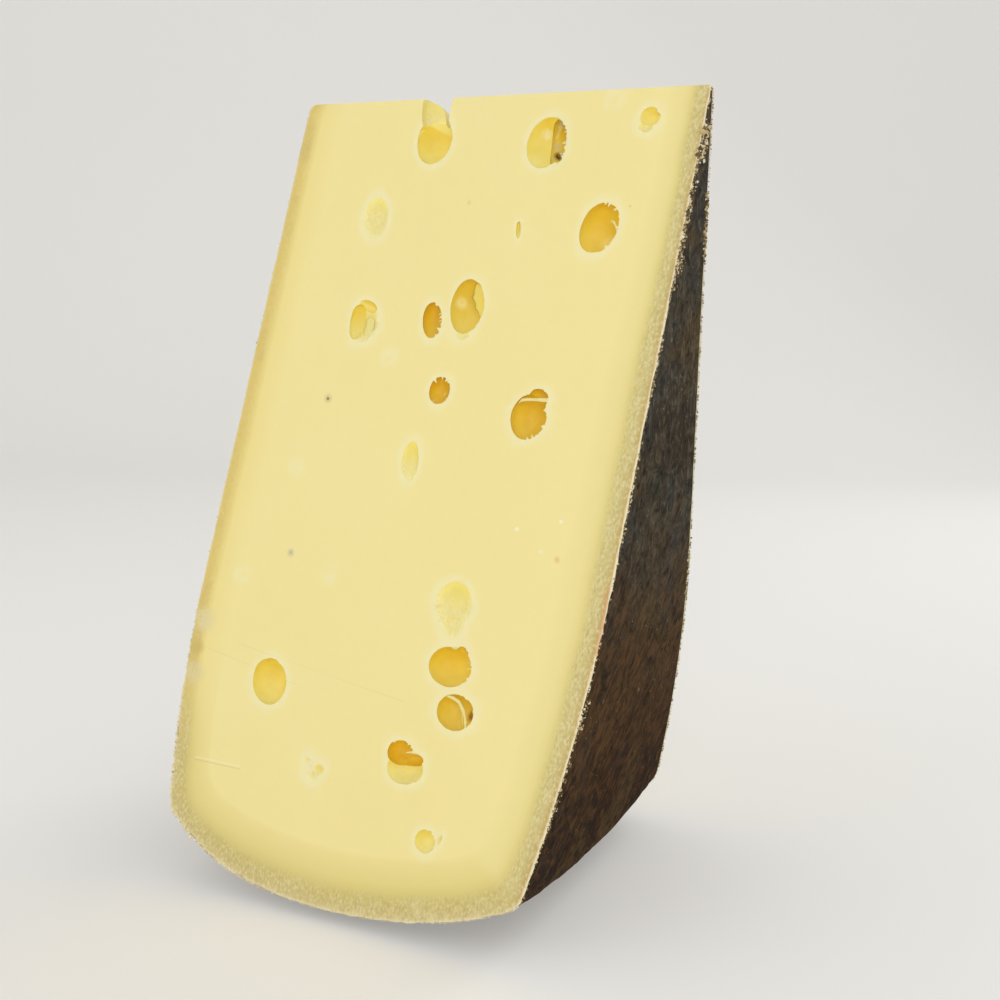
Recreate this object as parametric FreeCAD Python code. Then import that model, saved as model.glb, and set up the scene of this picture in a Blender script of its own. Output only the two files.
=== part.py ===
"""A wedge of cave-aged emmental, cut out of a whole wheel and stood on its heel.

The wheel's section is turned about the wheel's axis, two knife cuts take the
wedge out of it, and a third slices off its thin end. The round eyes that the
knife opened are hollows in both cut faces, and one of them breaks out through
the thin end. Two eyes keep a thin strand of cheese across their mouths.

While it is built, X runs along the wheel's axis, Z up and Y from the front cut
face to the back one, with the wheel's centre at the origin. The finished wedge
leans a little on its slanting heel and rests on a small pressed-flat spot,
whose middle is the origin of the part.
"""

import FreeCAD, Part
import math
import os
from collections import namedtuple

from FreeCAD import Matrix, Placement, Rotation, Vector

# ---------------------------------------------------------------- driving dimensions (mm, degrees)

# The wheel
WHEEL_RADIUS = 500.0
WHEEL_THICKNESS = 200.0  # between its flat sides, 180 mm in from the rim
RIGHT_TAPER = 0.031  # each flat side moves out by this much for each mm towards the rim
LEFT_TAPER = -0.013
TAPER_FROM = 178.0  # the thickness is measured this far in from the rim
RIGHT_SHOULDER = 175.0  # each side starts to round off this far in from the rim
LEFT_SHOULDER = 132.0
RIM_CORNER_RADIUS = 7.0

# The rim sags: share of half the thickness, and how far that point lies inside the wheel's radius.
# The first and last are the corners where the rim meets the left and the right side.
RIM = ((-0.881, 18.6), (-0.44, 0.6), (0.0, 0.0), (0.46, 9.2), (0.921, 31.0))

# The cuts
CUT_ANGLE = 27.27  # between the two cut faces
CUTS_MEET = 121.8  # the two cuts meet this far short of the wheel's centre
NOSE_CUT = 13.8  # the thin end is sliced off this far below where the cuts meet
NOSE_SLOPE = 5.58  # that slice rises to the right
NOSE_CORNER_RADIUS = 4.0

# How it stands
LEAN = 6.74
FLAT_SPOT_DEPTH = 2.5

# A bubble that a cut face opens. Its place is a share of half the thickness, to the right, and a
# share of the way down the face from where the cuts meet to the rim. Width, height and depth are
# those of the hollow left in the face, and tilt moves its lower end to the right.
Bubble = namedtuple("Bubble", "across down width height depth tilt")

FRONT_EYES = {
    "notched": [
        Bubble(-0.305, 0.098, 18.0, 22.0, 8.5, 8),
        Bubble(-0.315, 0.061, 15.0, 16.0, 4.2, 0),
    ],
    "double_top": [
        Bubble(0.240, 0.093, 14.5, 22.0, 8.5, -5),
        Bubble(0.308, 0.085, 8.5, 18.0, 10.0, -5),
    ],
    "corner": [Bubble(0.702, 0.055, 8.8, 10.7, 3.5, 0)],
    "faint_top": [Bubble(-0.508, 0.194, 12.2, 16.9, 1.8, 5)],
    "right": [Bubble(0.585, 0.184, 17.0, 22.0, 10.5, 0)],
    "slit": [Bubble(0.219, 0.195, 3.2, 7.6, 2.2, 12)],
    "left": [
        Bubble(-0.478, 0.329, 8.0, 16.4, 5.5, 4),
        Bubble(-0.435, 0.327, 9.5, 13.0, 2.2, 4),
    ],
    "pair_small": [Bubble(-0.100, 0.315, 9.6, 16.4, 8.0, 12)],
    "pair_large": [
        Bubble(0.055, 0.291, 14.5, 24.0, 8.5, 8),
        Bubble(0.115, 0.278, 7.0, 12.5, 4.0, 0),
    ],
    "under_pair": [Bubble(0.024, 0.392, 9.8, 12.0, 8.0, 0)],
    "strand": [
        Bubble(0.463, 0.403, 16.0, 21.5, 11.5, 0),
        Bubble(0.495, 0.382, 9.0, 8.0, 7.0, 0),
    ],
    "dimple": [Bubble(-0.041, 0.480, 8.0, 15.0, 2.2, 10)],
    "crater": [
        Bubble(0.324, 0.629, 17.0, 18.0, 2.6, 0),
        Bubble(0.363, 0.650, 7.0, 12.0, 1.5, 20),
    ],
    "row_top": [Bubble(0.377, 0.696, 18.8, 16.6, 9.5, 10)],
    "row_middle": [Bubble(0.447, 0.745, 17.0, 14.6, 9.0, 10)],
    "lower_left": [Bubble(-0.490, 0.776, 17.6, 20.4, 8.5, 15)],
    "row_low": [
        Bubble(0.265, 0.806, 17.6, 12.5, 9.5, 20),
        Bubble(0.278, 0.822, 16.0, 14.0, 5.0, 20),
    ],
    "scar": [Bubble(-0.161, 0.858, 10.5, 11.5, 1.8, 0)],
    "lowest": [Bubble(0.446, 0.892, 9.6, 9.8, 3.5, 15)],
}
BACK_EYES = {
    "back_1": [Bubble(-0.62, 0.160, 15.0, 19.0, 8.0, 5)],
    "back_2": [Bubble(0.18, 0.222, 17.0, 20.0, 9.5, -4)],
    "back_3": [Bubble(0.62, 0.278, 11.0, 14.0, 5.0, 0)],
    "back_4": [
        Bubble(-0.28, 0.349, 20.0, 22.0, 11.0, 8),
        Bubble(-0.21, 0.370, 9.0, 13.0, 6.0, 0),
    ],
    "back_5": [Bubble(0.40, 0.418, 13.0, 17.0, 7.0, 0)],
    "back_6": [Bubble(-0.66, 0.497, 9.0, 12.0, 3.0, 0)],
    "back_7": [Bubble(0.08, 0.545, 18.0, 21.0, 10.0, -6)],
    "back_8": [Bubble(-0.40, 0.624, 14.0, 15.0, 6.5, 0)],
    "back_9": [Bubble(0.60, 0.606, 17.0, 19.0, 9.0, 5)],
    "back_10": [Bubble(0.24, 0.693, 10.0, 12.0, 4.0, 0)],
    "back_11": [Bubble(-0.12, 0.767, 19.0, 18.0, 10.0, 0)],
    "back_12": [Bubble(0.52, 0.809, 12.0, 15.0, 5.5, 10)],
    "back_13": [Bubble(-0.58, 0.825, 15.0, 16.0, 7.5, -8)],
}

# The strands and the notch below are given as (across, down) from the middle of their eye's first
# bubble, in mm. A strand of cheese is left across an eye: one end, its middle and the other end.
STRAND_WIDTH = 1.8
STRAND_COVER = 1.2  # its middle line lies this far under the cut face
STRANDS = {
    "strand": ((-9.5, -2.0), (0.2, -7.0), (10.0, -6.2)),
    "row_middle": ((-7.0, -7.4), (1.9, -3.6), (7.5, 6.6)),
}

# Where the topmost eye breaks out, a piece of its thin back wall has come away: the notch falls in
# a curve from the left of the thin end to its tip, and rises steeply on the right.
NOTCHED_EYE = "notched"
NOTCH_CURVE = ((-10.6, -21.0), (-3.4, -16.7), (2.9, -13.6))
NOTCH_TIP = (4.7, -10.0)
NOTCH_RIGHT = (6.0, -23.0)
NOTCH_DEPTH = 30.0

# ---------------------------------------------------------------- worked out from them

HALF_THICKNESS = WHEEL_THICKNESS / 2
HALF_CUT = CUT_ANGLE / 2
FACE_LENGTH = WHEEL_RADIUS - CUTS_MEET
KNIFE_REACH = 2 * WHEEL_RADIUS  # longer than anything it cuts
FRONT, BACK = -1, 1
ACROSS = Vector(1, 0, 0)
LEAN_AXIS = Vector(0, 1, 0)


def side_point(side, taper, inset):
    """The point of a flat side, -1 left or 1 right, that lies inset from the rim."""
    half = HALF_THICKNESS + taper * (TAPER_FROM - inset)
    return Vector(side * half, 0, inset - WHEEL_RADIUS)


def side_edges(side, taper, shoulder, corner):
    """A flat side from the wheel's middle to its shoulder, and the bend from there to the rim."""
    corner_inset = WHEEL_RADIUS + corner.z
    inner = side_point(side, taper, WHEEL_RADIUS - CUTS_MEET)
    start = side_point(side, taper, shoulder)
    control = side_point(side, taper, (shoulder + corner_inset) / 2)
    bend = Part.BezierCurve()
    bend.setPoles([start, control, corner])
    return inner, [Part.LineSegment(inner, start).toShape(), bend.toShape()]


def wheel_sector():
    """The part of the wheel that holds the wedge, its section turned about the wheel's axis."""
    rim_points = [Vector(share * HALF_THICKNESS, 0, drop - WHEEL_RADIUS) for share, drop in RIM]
    rim = Part.BSplineCurve()
    rim.interpolate(rim_points)
    left_inner, left = side_edges(-1, LEFT_TAPER, LEFT_SHOULDER, rim_points[0])
    right_inner, right = side_edges(1, RIGHT_TAPER, RIGHT_SHOULDER, rim_points[-1])
    inner = Part.LineSegment(left_inner, right_inner).toShape()
    outline = Part.Wire(Part.__sortEdges__(left + [rim.toShape()] + right + [inner]))
    section = Part.Face(outline)
    section.rotate(Vector(), ACROSS, -HALF_CUT)
    sector = section.revolve(Vector(), ACROSS, CUT_ANGLE)

    rim_ends = (rim_points[0], rim_points[-1])
    corners = [edge for edge in sector.Edges if is_turned_corner(edge, rim_ends)]
    return sector.makeFillet(RIM_CORNER_RADIUS, corners)


def is_turned_corner(edge, corners):
    """Whether an edge is the arc that one of the section's corners makes about the wheel's axis."""
    middle = edge.valueAt((edge.FirstParameter + edge.LastParameter) / 2)
    reach = math.hypot(middle.y, middle.z)
    return any(abs(middle.x - at.x) < 0.01 and abs(reach + at.z) < 0.01 for at in corners)


def knife_cuts():
    """The prism between the two cut faces, as wide as the wheel is thick and more."""
    run = KNIFE_REACH * math.tan(math.radians(HALF_CUT))
    left = -WHEEL_THICKNESS
    meet = Vector(left, 0, -CUTS_MEET)
    front = Vector(left, -run, -CUTS_MEET - KNIFE_REACH)
    back = Vector(left, run, -CUTS_MEET - KNIFE_REACH)
    face = Part.Face(Part.makePolygon([meet, front, back, meet]))
    return face.extrude(ACROSS * 2 * WHEEL_THICKNESS)


def nose_cut():
    """What is sliced off the thin end."""
    corner = Vector(-KNIFE_REACH / 2, -KNIFE_REACH / 2, 0)
    block = Part.makeBox(KNIFE_REACH, KNIFE_REACH, KNIFE_REACH / 2, corner)
    block.Placement = Placement(
        Vector(0, 0, -CUTS_MEET - NOSE_CUT), Rotation(Vector(0, 1, 0), -NOSE_SLOPE)
    )
    return block


def wedge():
    """The wedge as the knife left it, before its eyes are cut."""
    body = wheel_sector().common(knife_cuts()).cut(nose_cut())
    nose_left = min(
        (edge for edge in body.Edges if abs(edge.tangentAt(edge.FirstParameter).x) < 0.3),
        key=lambda edge: edge.CenterOfMass.x * 0.2 - edge.CenterOfMass.z,
    )
    return body.makeFillet(NOSE_CORNER_RADIUS, [nose_left])


def face_point(side, across, down, depth):
    """A point across and down a cut face, in mm from the middle of the line where the cuts meet."""
    half_cut = math.radians(HALF_CUT)
    along = Vector(0, side * math.sin(half_cut), -math.cos(half_cut))
    inward = Vector(0, -side * math.cos(half_cut), -math.sin(half_cut))
    return Vector(across, 0, -CUTS_MEET) + along * down + inward * depth


def bubble_middle(bubble):
    """Where a bubble lies on its face, in mm across and down."""
    return bubble.across * HALF_THICKNESS, bubble.down * FACE_LENGTH


def stretched_ball(radius, stretch):
    """A ball stretched along Z. Its poles are on the line that will run straight into the face."""
    pull = Matrix()
    pull.A33 = stretch
    return Part.makeSphere(radius, Vector(), Vector(0, 1, 0)).transformGeometry(pull)


def hollow(side, bubble):
    """One bubble: a ball that opens the face to its width, stretched to its height and tilted."""
    ball_radius = (bubble.width**2 / 4 + bubble.depth**2) / (2 * bubble.depth)
    ball = stretched_ball(ball_radius, bubble.height / bubble.width)
    across, down = bubble_middle(bubble)
    tilt = Rotation(Vector(0, 1, 0), -bubble.tilt)
    ball.Placement = Placement(
        face_point(side, across, down, bubble.depth - ball_radius),
        Rotation(ACROSS, side * HALF_CUT).multiply(tilt),
    )
    return ball


def strand(side, bubble, route):
    """The thin bar of cheese that is left across an eye, a little under the face."""
    middle_across, middle_down = bubble_middle(bubble)
    ends = [
        face_point(side, middle_across + across, middle_down + down, STRAND_COVER)
        for across, down in route
    ]
    arc = Part.Arc(*ends)
    start = Part.Circle(ends[0], arc.tangent(arc.FirstParameter)[0], STRAND_WIDTH / 2)
    return Part.Wire([arc.toShape()]).makePipeShell([Part.Wire([start.toShape()])], True, False)


def eye(side, name, bubbles):
    """An eye: the bubbles that merged in it, less the strand that is left across it."""
    parts = [hollow(side, bubble) for bubble in bubbles]
    opening = parts[0].fuse(parts[1:]) if len(parts) > 1 else parts[0]
    if name in STRANDS:
        opening = opening.cut(strand(side, bubbles[0], STRANDS[name]))
    return opening


def notch():
    """What has come away at the top of the notched eye, right through the thin end."""
    first = FRONT_EYES[NOTCHED_EYE][0]
    middle_across, middle_down = bubble_middle(first)

    def at(place):
        return face_point(FRONT, middle_across + place[0], middle_down + place[1], -NOTCH_DEPTH / 2)

    left, bend, shoulder = (at(place) for place in NOTCH_CURVE)
    tip, right = at(NOTCH_TIP), at(NOTCH_RIGHT)
    edges = [Part.Arc(left, bend, shoulder).toShape()]
    edges += [Part.makeLine(*ends) for ends in ((shoulder, tip), (tip, right), (right, left))]
    inward = face_point(FRONT, 0, 0, 1) - face_point(FRONT, 0, 0, 0)
    return Part.Face(Part.Wire(edges)).extrude(inward * NOTCH_DEPTH * 1.5)


def pressed_flat(body):
    """Leans the wedge and presses its heel flat where it rests. Also gives the middle of that spot."""
    body = body.copy()
    body.rotate(Vector(), LEAN_AXIS, LEAN)
    lowest = body.optimalBoundingBox(False).ZMin
    corner = Vector(-KNIFE_REACH / 2, -KNIFE_REACH / 2, lowest + FLAT_SPOT_DEPTH - KNIFE_REACH)
    body = body.cut(Part.makeBox(KNIFE_REACH, KNIFE_REACH, KNIFE_REACH, corner))
    spot = min(body.Faces, key=lambda face: face.CenterOfMass.z)
    return body, spot.CenterOfMass


def cheese():
    """The finished wedge, as one solid that stands on the origin."""
    body, spot = pressed_flat(wedge())
    hollows = [eye(FRONT, name, bubbles) for name, bubbles in FRONT_EYES.items()]
    hollows += [eye(BACK, name, bubbles) for name, bubbles in BACK_EYES.items()]
    hollows.append(notch())
    for opening in hollows:
        opening.rotate(Vector(), LEAN_AXIS, LEAN)
    body = body.cut(hollows)
    body.translate(-spot)
    return body


if __name__ == "__main__":
    os.makedirs("parts", exist_ok=True)
    finished = cheese()
    solids = finished.Solids
    print("solids", len(solids), "valid", finished.isValid(), "faces", len(finished.Faces))
    print("volume, litres", round(finished.Volume / 1e6, 3), "middle", solids[0].CenterOfMass)
    solids[0].exportStep("parts/cheese.step")
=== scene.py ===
"""The looks of the emmental wedge: pale cut faces with their eyes, a dark rind and frayed edges.

The wedge is built again here at a finer grain than the solid, from the same driving dimensions.
All building is done in millimetres in the wheel's own frame, which the solid's source uses too:
X along the wheel's axis, Z up, Y from the front cut face to the back one, and the origin at the
wheel's centre. A last step leans the points, presses the heel flat and moves them to where the
frame's box is.
"""

import itertools
import math
from collections import namedtuple

import bpy
import numpy as np
from mathutils import Matrix, Vector


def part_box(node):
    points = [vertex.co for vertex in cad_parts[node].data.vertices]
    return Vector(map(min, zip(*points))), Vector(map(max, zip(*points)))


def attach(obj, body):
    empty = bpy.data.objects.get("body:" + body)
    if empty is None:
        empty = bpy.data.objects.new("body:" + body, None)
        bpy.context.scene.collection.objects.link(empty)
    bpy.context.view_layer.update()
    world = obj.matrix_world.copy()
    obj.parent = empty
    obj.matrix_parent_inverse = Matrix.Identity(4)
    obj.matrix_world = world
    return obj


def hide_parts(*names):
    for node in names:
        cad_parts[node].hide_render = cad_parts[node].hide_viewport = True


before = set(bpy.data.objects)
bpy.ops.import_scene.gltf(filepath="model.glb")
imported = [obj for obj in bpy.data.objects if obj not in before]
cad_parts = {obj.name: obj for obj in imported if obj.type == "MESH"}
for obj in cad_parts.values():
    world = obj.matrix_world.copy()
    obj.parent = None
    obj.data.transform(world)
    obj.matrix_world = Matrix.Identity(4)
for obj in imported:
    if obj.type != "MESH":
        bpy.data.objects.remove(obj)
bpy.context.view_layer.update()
BOX_LOW, BOX_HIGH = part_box("cheese")

# ---------------------------------------------------------------- the wedge (mm, degrees)

RIGHT, LEFT = 1, -1  # the wheel's two flat sides
FRONT, BACK = -1, 1  # the wedge's two cut faces
WHEEL_RADIUS = 500.0
HALF_THICKNESS = 100.0
TAPER = {RIGHT: 0.031, LEFT: -0.013}  # how far each side leans outward for each mm nearer the rim
TAPER_FROM = 178.0  # the sides lie HALF_THICKNESS from the middle this far inside the rim
SHOULDER = {RIGHT: 175.0, LEFT: 132.0}  # and start to round off towards the rim this far inside it
# The rim's bulge: shares of half the thickness, and mm inside the wheel's radius.
RIM = ((-0.881, 18.6), (-0.44, 0.6), (0.0, 0.0), (0.46, 9.2), (0.921, 31.0))
HALF_CUT = math.radians(27.27 / 2)
CUTS_MEET = 121.8  # the two cuts meet this far from the wheel's axis
NOSE_CUT = 13.8  # and a third cut takes off the thin end this much further out
NOSE_RISE = math.tan(math.radians(5.58))  # which slopes up to the right
# How far the rounding of each corner reaches: thin end right, rim right, rim left, thin end left.
CORNER_REACH = (1.5, 5.0, 5.0, 4.0)
LEAN = math.radians(6.74)
FACE_LENGTH = WHEEL_RADIUS - CUTS_MEET

# ---------------------------------------------------------------- the eyes

# As in the solid: shares of half the thickness and of the face's length, then mm and degrees.
# Tone is how deep its gold is, ragged how far the torn teeth reach in from its rim, and torn_at where
# they are: 0 is the right of the rim, 90 its bottom and -90 its top.
Bubble = namedtuple(
    "Bubble", "across down width height depth tilt tone ragged torn_at", defaults=(0.6, 0.5, -10)
)

FRONT_EYES = {
    "notched": [Bubble(-0.302, 0.098, 17.6, 22.0, 8.5, 8, 0.44, 0.5)],
    "double_top": [
        Bubble(0.2575, 0.0902, 18.0, 23.8, 5.4, -3, 0.48, 0.2),
        Bubble(0.3130, 0.0885, 7.4, 18.4, 10.0, 9, 0.66, 1.6),
    ],
    "corner": [
        Bubble(0.702, 0.0524, 8.8, 8.8, 3.2, 0, 0.30, 1.0, 0),
        Bubble(0.692, 0.0640, 6.6, 5.4, 1.1, 0, 0.10, 0.7, 90),
    ],
    "faint_top": [Bubble(-0.512, 0.1985, 13.6, 20.5, 1.9, 12, 0.03, 0.3)],
    "right": [Bubble(0.589, 0.1830, 16.6, 22.6, 10.5, -11, 0.66, 1.7, -35)],
    "slit": [Bubble(0.219, 0.195, 2.4, 7.6, 1.8, 12, 0.36, 0.2)],
    "left": [
        Bubble(-0.485, 0.3290, 7.2, 16.4, 5.0, 4, 0.34, 0.3),
        Bubble(-0.443, 0.3080, 10.4, 5.4, 3.4, -16, 0.36, 0.3),
        Bubble(-0.445, 0.3290, 14.6, 17.2, 2.4, 4, 0.16, 0.9),
    ],
    "pair_small": [Bubble(-0.099, 0.3136, 9.6, 16.3, 8.0, 12, 0.80, 1.8)],
    "pair_large": [
        Bubble(0.058, 0.2911, 16.0, 24.4, 8.5, 3, 0.60, 0.4),
        Bubble(0.068, 0.3240, 6.4, 5.4, 0.9, 0, 0.04, 0.5, 90),
    ],
    "under_pair": [Bubble(0.019, 0.3935, 10.2, 12.3, 8.0, 0, 0.88, 1.8, -80)],
    "strand": [
        Bubble(0.468, 0.4056, 16.6, 19.6, 11.5, -4, 0.76, 1.6, 25),
        Bubble(0.492, 0.3830, 9.2, 8.8, 7.0, 0, 0.78, 0.4),
    ],
    "dimple": [Bubble(-0.043, 0.4800, 9.0, 16.6, 2.3, 8, 0.18, 0.3)],
    "crater": [
        Bubble(0.320, 0.6285, 18.2, 18.6, 2.6, 0, 0.12, 1.2, 170),
        Bubble(0.336, 0.6490, 11.0, 14.0, 1.5, 15, 0.05, 0.3),
    ],
    "row_top": [
        Bubble(0.3735, 0.6975, 20.2, 16.8, 9.5, 10, 0.68, 0.9, -20),
        Bubble(0.414, 0.6835, 6.6, 8.4, 6.0, 10, 0.78, 0.4),
    ],
    "row_middle": [Bubble(0.445, 0.7456, 17.4, 15.4, 9.0, 10, 0.68, 0.5)],
    "lower_left": [Bubble(-0.497, 0.7757, 18.6, 20.8, 8.5, 15, 0.42, 0.4)],
    "row_low": [
        Bubble(0.236, 0.8075, 12.6, 11.2, 9.0, 15, 1.00, 0.9, -70),
        Bubble(0.275, 0.8125, 15.4, 7.0, 8.6, 14, 1.00, 0.5),
        Bubble(0.272, 0.8225, 17.6, 13.8, 5.0, 12, 0.36, 0.4),
    ],
    "scar": [
        Bubble(-0.206, 0.8500, 4.0, 4.8, 0.5, 20, 0.14, 1.0),
        Bubble(-0.140, 0.8560, 6.0, 5.4, 0.9, -20, 0.24, 1.2),
        Bubble(-0.162, 0.8650, 8.0, 6.6, 0.5, 10, 0.08, 1.2),
    ],
    "lowest": [
        Bubble(0.444, 0.8920, 9.8, 10.0, 3.2, 15, 0.30, 0.9),
        Bubble(0.507, 0.8860, 1.9, 5.6, 0.5, -12, 0.04, 0.4),
    ],
}
BACK_EYES = (
    Bubble(-0.62, 0.160, 15.0, 19.0, 8.0, 5, 0.50),
    Bubble(0.18, 0.222, 17.0, 20.0, 9.5, -4, 0.70, 1.1),
    Bubble(0.62, 0.278, 11.0, 14.0, 5.0, 0, 0.40),
    Bubble(-0.28, 0.349, 20.0, 22.0, 11.0, 8, 0.80, 0.7),
    Bubble(-0.21, 0.370, 9.0, 13.0, 6.0, 0, 0.50, 0.9),
    Bubble(0.40, 0.418, 13.0, 17.0, 7.0, 0, 0.75),
    Bubble(-0.66, 0.497, 9.0, 12.0, 3.0, 0, 0.20),
    Bubble(0.08, 0.545, 18.0, 21.0, 10.0, -6, 0.70, 1.2),
    Bubble(-0.40, 0.624, 14.0, 15.0, 6.5, 0, 0.45),
    Bubble(0.60, 0.606, 17.0, 19.0, 9.0, 5, 0.80, 0.9),
    Bubble(0.24, 0.693, 10.0, 12.0, 4.0, 0, 0.30),
    Bubble(-0.12, 0.767, 19.0, 18.0, 10.0, 0, 0.90, 1.2),
    Bubble(0.52, 0.809, 12.0, 15.0, 5.5, 10, 0.40),
    Bubble(-0.58, 0.825, 15.0, 16.0, 7.5, -8, 0.60, 0.8),
)
EYES = [(FRONT, bubble) for bubbles in FRONT_EYES.values() for bubble in bubbles]
EYES += [(BACK, bubble) for bubble in BACK_EYES]

# Pale rounds where a bubble lies just under the front face: mm across and down, and radius.
HIDDEN_BUBBLES = (
    (52.7, 13.8, 3.5),
    (-27.6, 138.4, 3.0),
    (-62.5, 195.4, 3.0),
    (-31.0, 238.1, 3.2),
    (-78.3, 249.9, 3.0),
)

# Where the notched eye breaks out through the thin end, in mm across and down. The opening is cut into
# the front face only, deeper on the right, and the gap goes right through the wall behind it.
NOTCH_OPENING = (
    (-41.4, 6.0), (-40.9, 17.0), (-40.4, 22.5), (-39.2, 28.0), (-36.5, 33.0),
    (-31.0, 36.0), (-25.0, 36.0), (-22.2, 33.4), (-23.4, 30.0), (-25.2, 27.0),
    (-25.3, 23.1), (-25.6, 19.9), (-25.6, 16.9), (-24.6, 15.0), (-24.2, 6.0),
)
NOTCH_GAP = (
    (-42.4, 6.0), (-41.4, 16.8), (-38.4, 17.9), (-35.2, 18.8), (-32.6, 19.9), (-31.2, 21.4),
    (-30.0, 23.6), (-29.0, 26.0), (-28.2, 28.2), (-27.0, 29.4), (-25.6, 28.6), (-25.3, 25.5),
    (-25.3, 23.1), (-25.6, 19.9), (-25.6, 16.9), (-24.6, 15.0), (-24.2, 6.0),
)
OPENING_BOWL = (  # mm deep, and how wide it is there as a share of the opening
    (-4.0, 1.0), (-0.5, 1.0), (0.3, 1.0), (1.1, 0.985), (1.9, 0.95),
    (2.7, 0.87), (3.4, 0.72), (3.9, 0.5), (4.1, 0.25),
)
GAP_DEPTHS = np.linspace(-10.0, 30.0, 24)
NOTCH_POINTS = 90  # along each of the two outlines
OPENING_TONE = Bubble(-0.335, 0.055, 24.0, 34.0, 4.4, 0, 0.20, 0.0)  # colours the opening's floor
NOTCH_BORDER = ((-39.5, 28.0), (-21.6, 34.0))  # above this line the notched eye is paler too

# ---------------------------------------------------------------- smooth random values

NOISE_CELLS = 32
NOISE = np.random.default_rng(11).uniform(-1.0, 1.0, (NOISE_CELLS,) * 3)


def noise(points, grain, layer=0):
    """Smooth random values from -1 to 1 at the points, in lumps about grain across."""
    place = np.asarray(points, float) / grain + 7.31 * layer
    low = np.floor(place).astype(int)
    part = place - low
    part = part * part * (3.0 - 2.0 * part)
    total = 0.0
    for corner in itertools.product((0, 1), repeat=3):
        weight = np.prod(np.where(corner, part, 1.0 - part), axis=-1)
        cell = (low + corner) % NOISE_CELLS
        total = total + weight * NOISE[cell[..., 0], cell[..., 1], cell[..., 2]]
    return total


def smooth(value, low, high):
    """0 below low, 1 above high, and a smooth step between them."""
    share = np.clip((value - low) / (high - low), 0.0, 1.0)
    return share * share * (3.0 - 2.0 * share)


# ---------------------------------------------------------------- the wedge's outline

LINE_STEP = 0.5
GRADE_SAMPLES = 2000


def line_length(line):
    """The distance along a line of points from its start to each of them."""
    steps = np.linalg.norm(np.diff(line, axis=0), axis=1)
    return np.concatenate(([0.0], np.cumsum(steps)))


def along(line, shares):
    """The points at these shares of a line's length."""
    reach = line_length(line)
    at = np.asarray(shares) * reach[-1]
    return np.column_stack([np.interp(at, reach, axis) for axis in line.T])


def flat_side(side, inset):
    """The point (x, r) of a flat side that lies inset from the rim. r is from the wheel's axis."""
    half = HALF_THICKNESS + TAPER[side] * (TAPER_FROM - inset)
    return np.array((side * half, WHEEL_RADIUS - inset))


def bend(start, control, end, count=60):
    """A curve from start to end that leaves and arrives in line with control."""
    share = np.linspace(0.0, 1.0, count)[:, None]
    return (1 - share) ** 2 * start + 2 * share * (1 - share) * control + share**2 * end


def side_line(side):
    """One side of the outline, from the thin end down to its corner with the rim."""
    nose_middle = CUTS_MEET + NOSE_CUT
    half = HALF_THICKNESS + TAPER[side] * (TAPER_FROM - WHEEL_RADIUS + nose_middle)
    half /= 1 + side * TAPER[side] * NOSE_RISE
    nose = np.array((side * half, nose_middle - side * half * NOSE_RISE))
    share, drop = RIM[-1] if side == RIGHT else RIM[0]
    corner = np.array((share * HALF_THICKNESS, WHEEL_RADIUS - drop))
    control = flat_side(side, (SHOULDER[side] + drop) / 2)
    return np.vstack((nose, bend(flat_side(side, SHOULDER[side]), control, corner)))


def rim_line():
    """The rim of the outline, from its right corner to its left one."""
    shares, drops = np.array(RIM).T
    curve = np.polyfit(shares, drops, len(RIM) - 1)
    share = np.linspace(shares[-1], shares[0], 200)
    return np.column_stack((share * HALF_THICKNESS, WHEEL_RADIUS - np.polyval(curve, share)))


def outline():
    """The closed outline as points (x, r), and the numbers of its four corners.

    It runs from the thin end down the right side, along the rim, up the left side and back."""
    right, left = side_line(RIGHT), side_line(LEFT)
    lines = [right, rim_line(), left[::-1], np.vstack((left[0], right[0]))]
    points, corners = [], []
    for line in lines:
        count = round(line_length(line)[-1] / LINE_STEP)
        corners.append(sum(len(part) for part in points))
        points.append(along(line, np.arange(count) / count))
    sharp = np.vstack(points)
    rounded = sharp.copy()
    total = len(sharp)
    for corner, reach in zip(corners, CORNER_REACH):
        steps = round(reach / LINE_STEP)
        numbers = np.arange(corner - steps, corner + steps + 1) % total
        rounded[numbers] = bend(sharp[numbers[0]], sharp[corner], sharp[numbers[-1]], len(numbers))
    return rounded, corners


OUTLINE, CORNERS = outline()
NOSE_RIGHT, RIM_RIGHT, RIM_LEFT, NOSE_LEFT = CORNERS


def outward(loop):
    """The outward direction at each point of a closed outline that runs as OUTLINE does."""
    run = np.roll(loop, -1, axis=0) - np.roll(loop, 1, axis=0)
    run /= np.linalg.norm(run, axis=1, keepdims=True)
    return np.column_stack((-run[:, 1], run[:, 0])) * -1.0


def drawn_in(amount):
    """The outline drawn in by an amount all round, except at the thin end, which has no rind."""
    numbers = np.arange(len(OUTLINE))
    to_nose = np.minimum(numbers, np.maximum(NOSE_LEFT - numbers, 0))
    share = smooth(to_nose * LINE_STEP, -0.5, 1.5)
    share[numbers > NOSE_LEFT] = 0.0
    return OUTLINE - outward(OUTLINE) * amount * share[:, None]


def patch_side(loop, first, last, shares):
    """The points at these shares of the loop's stretch from one corner to the next."""
    last = last if last > first else last + len(loop)
    return along(loop[np.arange(first, last + 1) % len(loop)], shares)


def graded(length, fine, coarse, near, far):
    """Shares from 0 to 1 whose steps are fine close to both ends and coarse in between.

    near and far are how far the fine steps reach from the start and from the end."""
    place = np.linspace(0.0, length, GRADE_SAMPLES)
    rise = np.minimum(smooth(place, 0.0, near), smooth(length - place, 0.0, far))
    density = 1.0 / (fine + (coarse - fine) * rise)
    count = np.concatenate(([0.0], np.cumsum((density[1:] + density[:-1]) / 2)))
    steps = round(count[-1] * length / (GRADE_SAMPLES - 1))
    return np.interp(np.linspace(0.0, count[-1], steps + 1), count, place) / length


# ---------------------------------------------------------------- from the outline to the wedge


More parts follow.
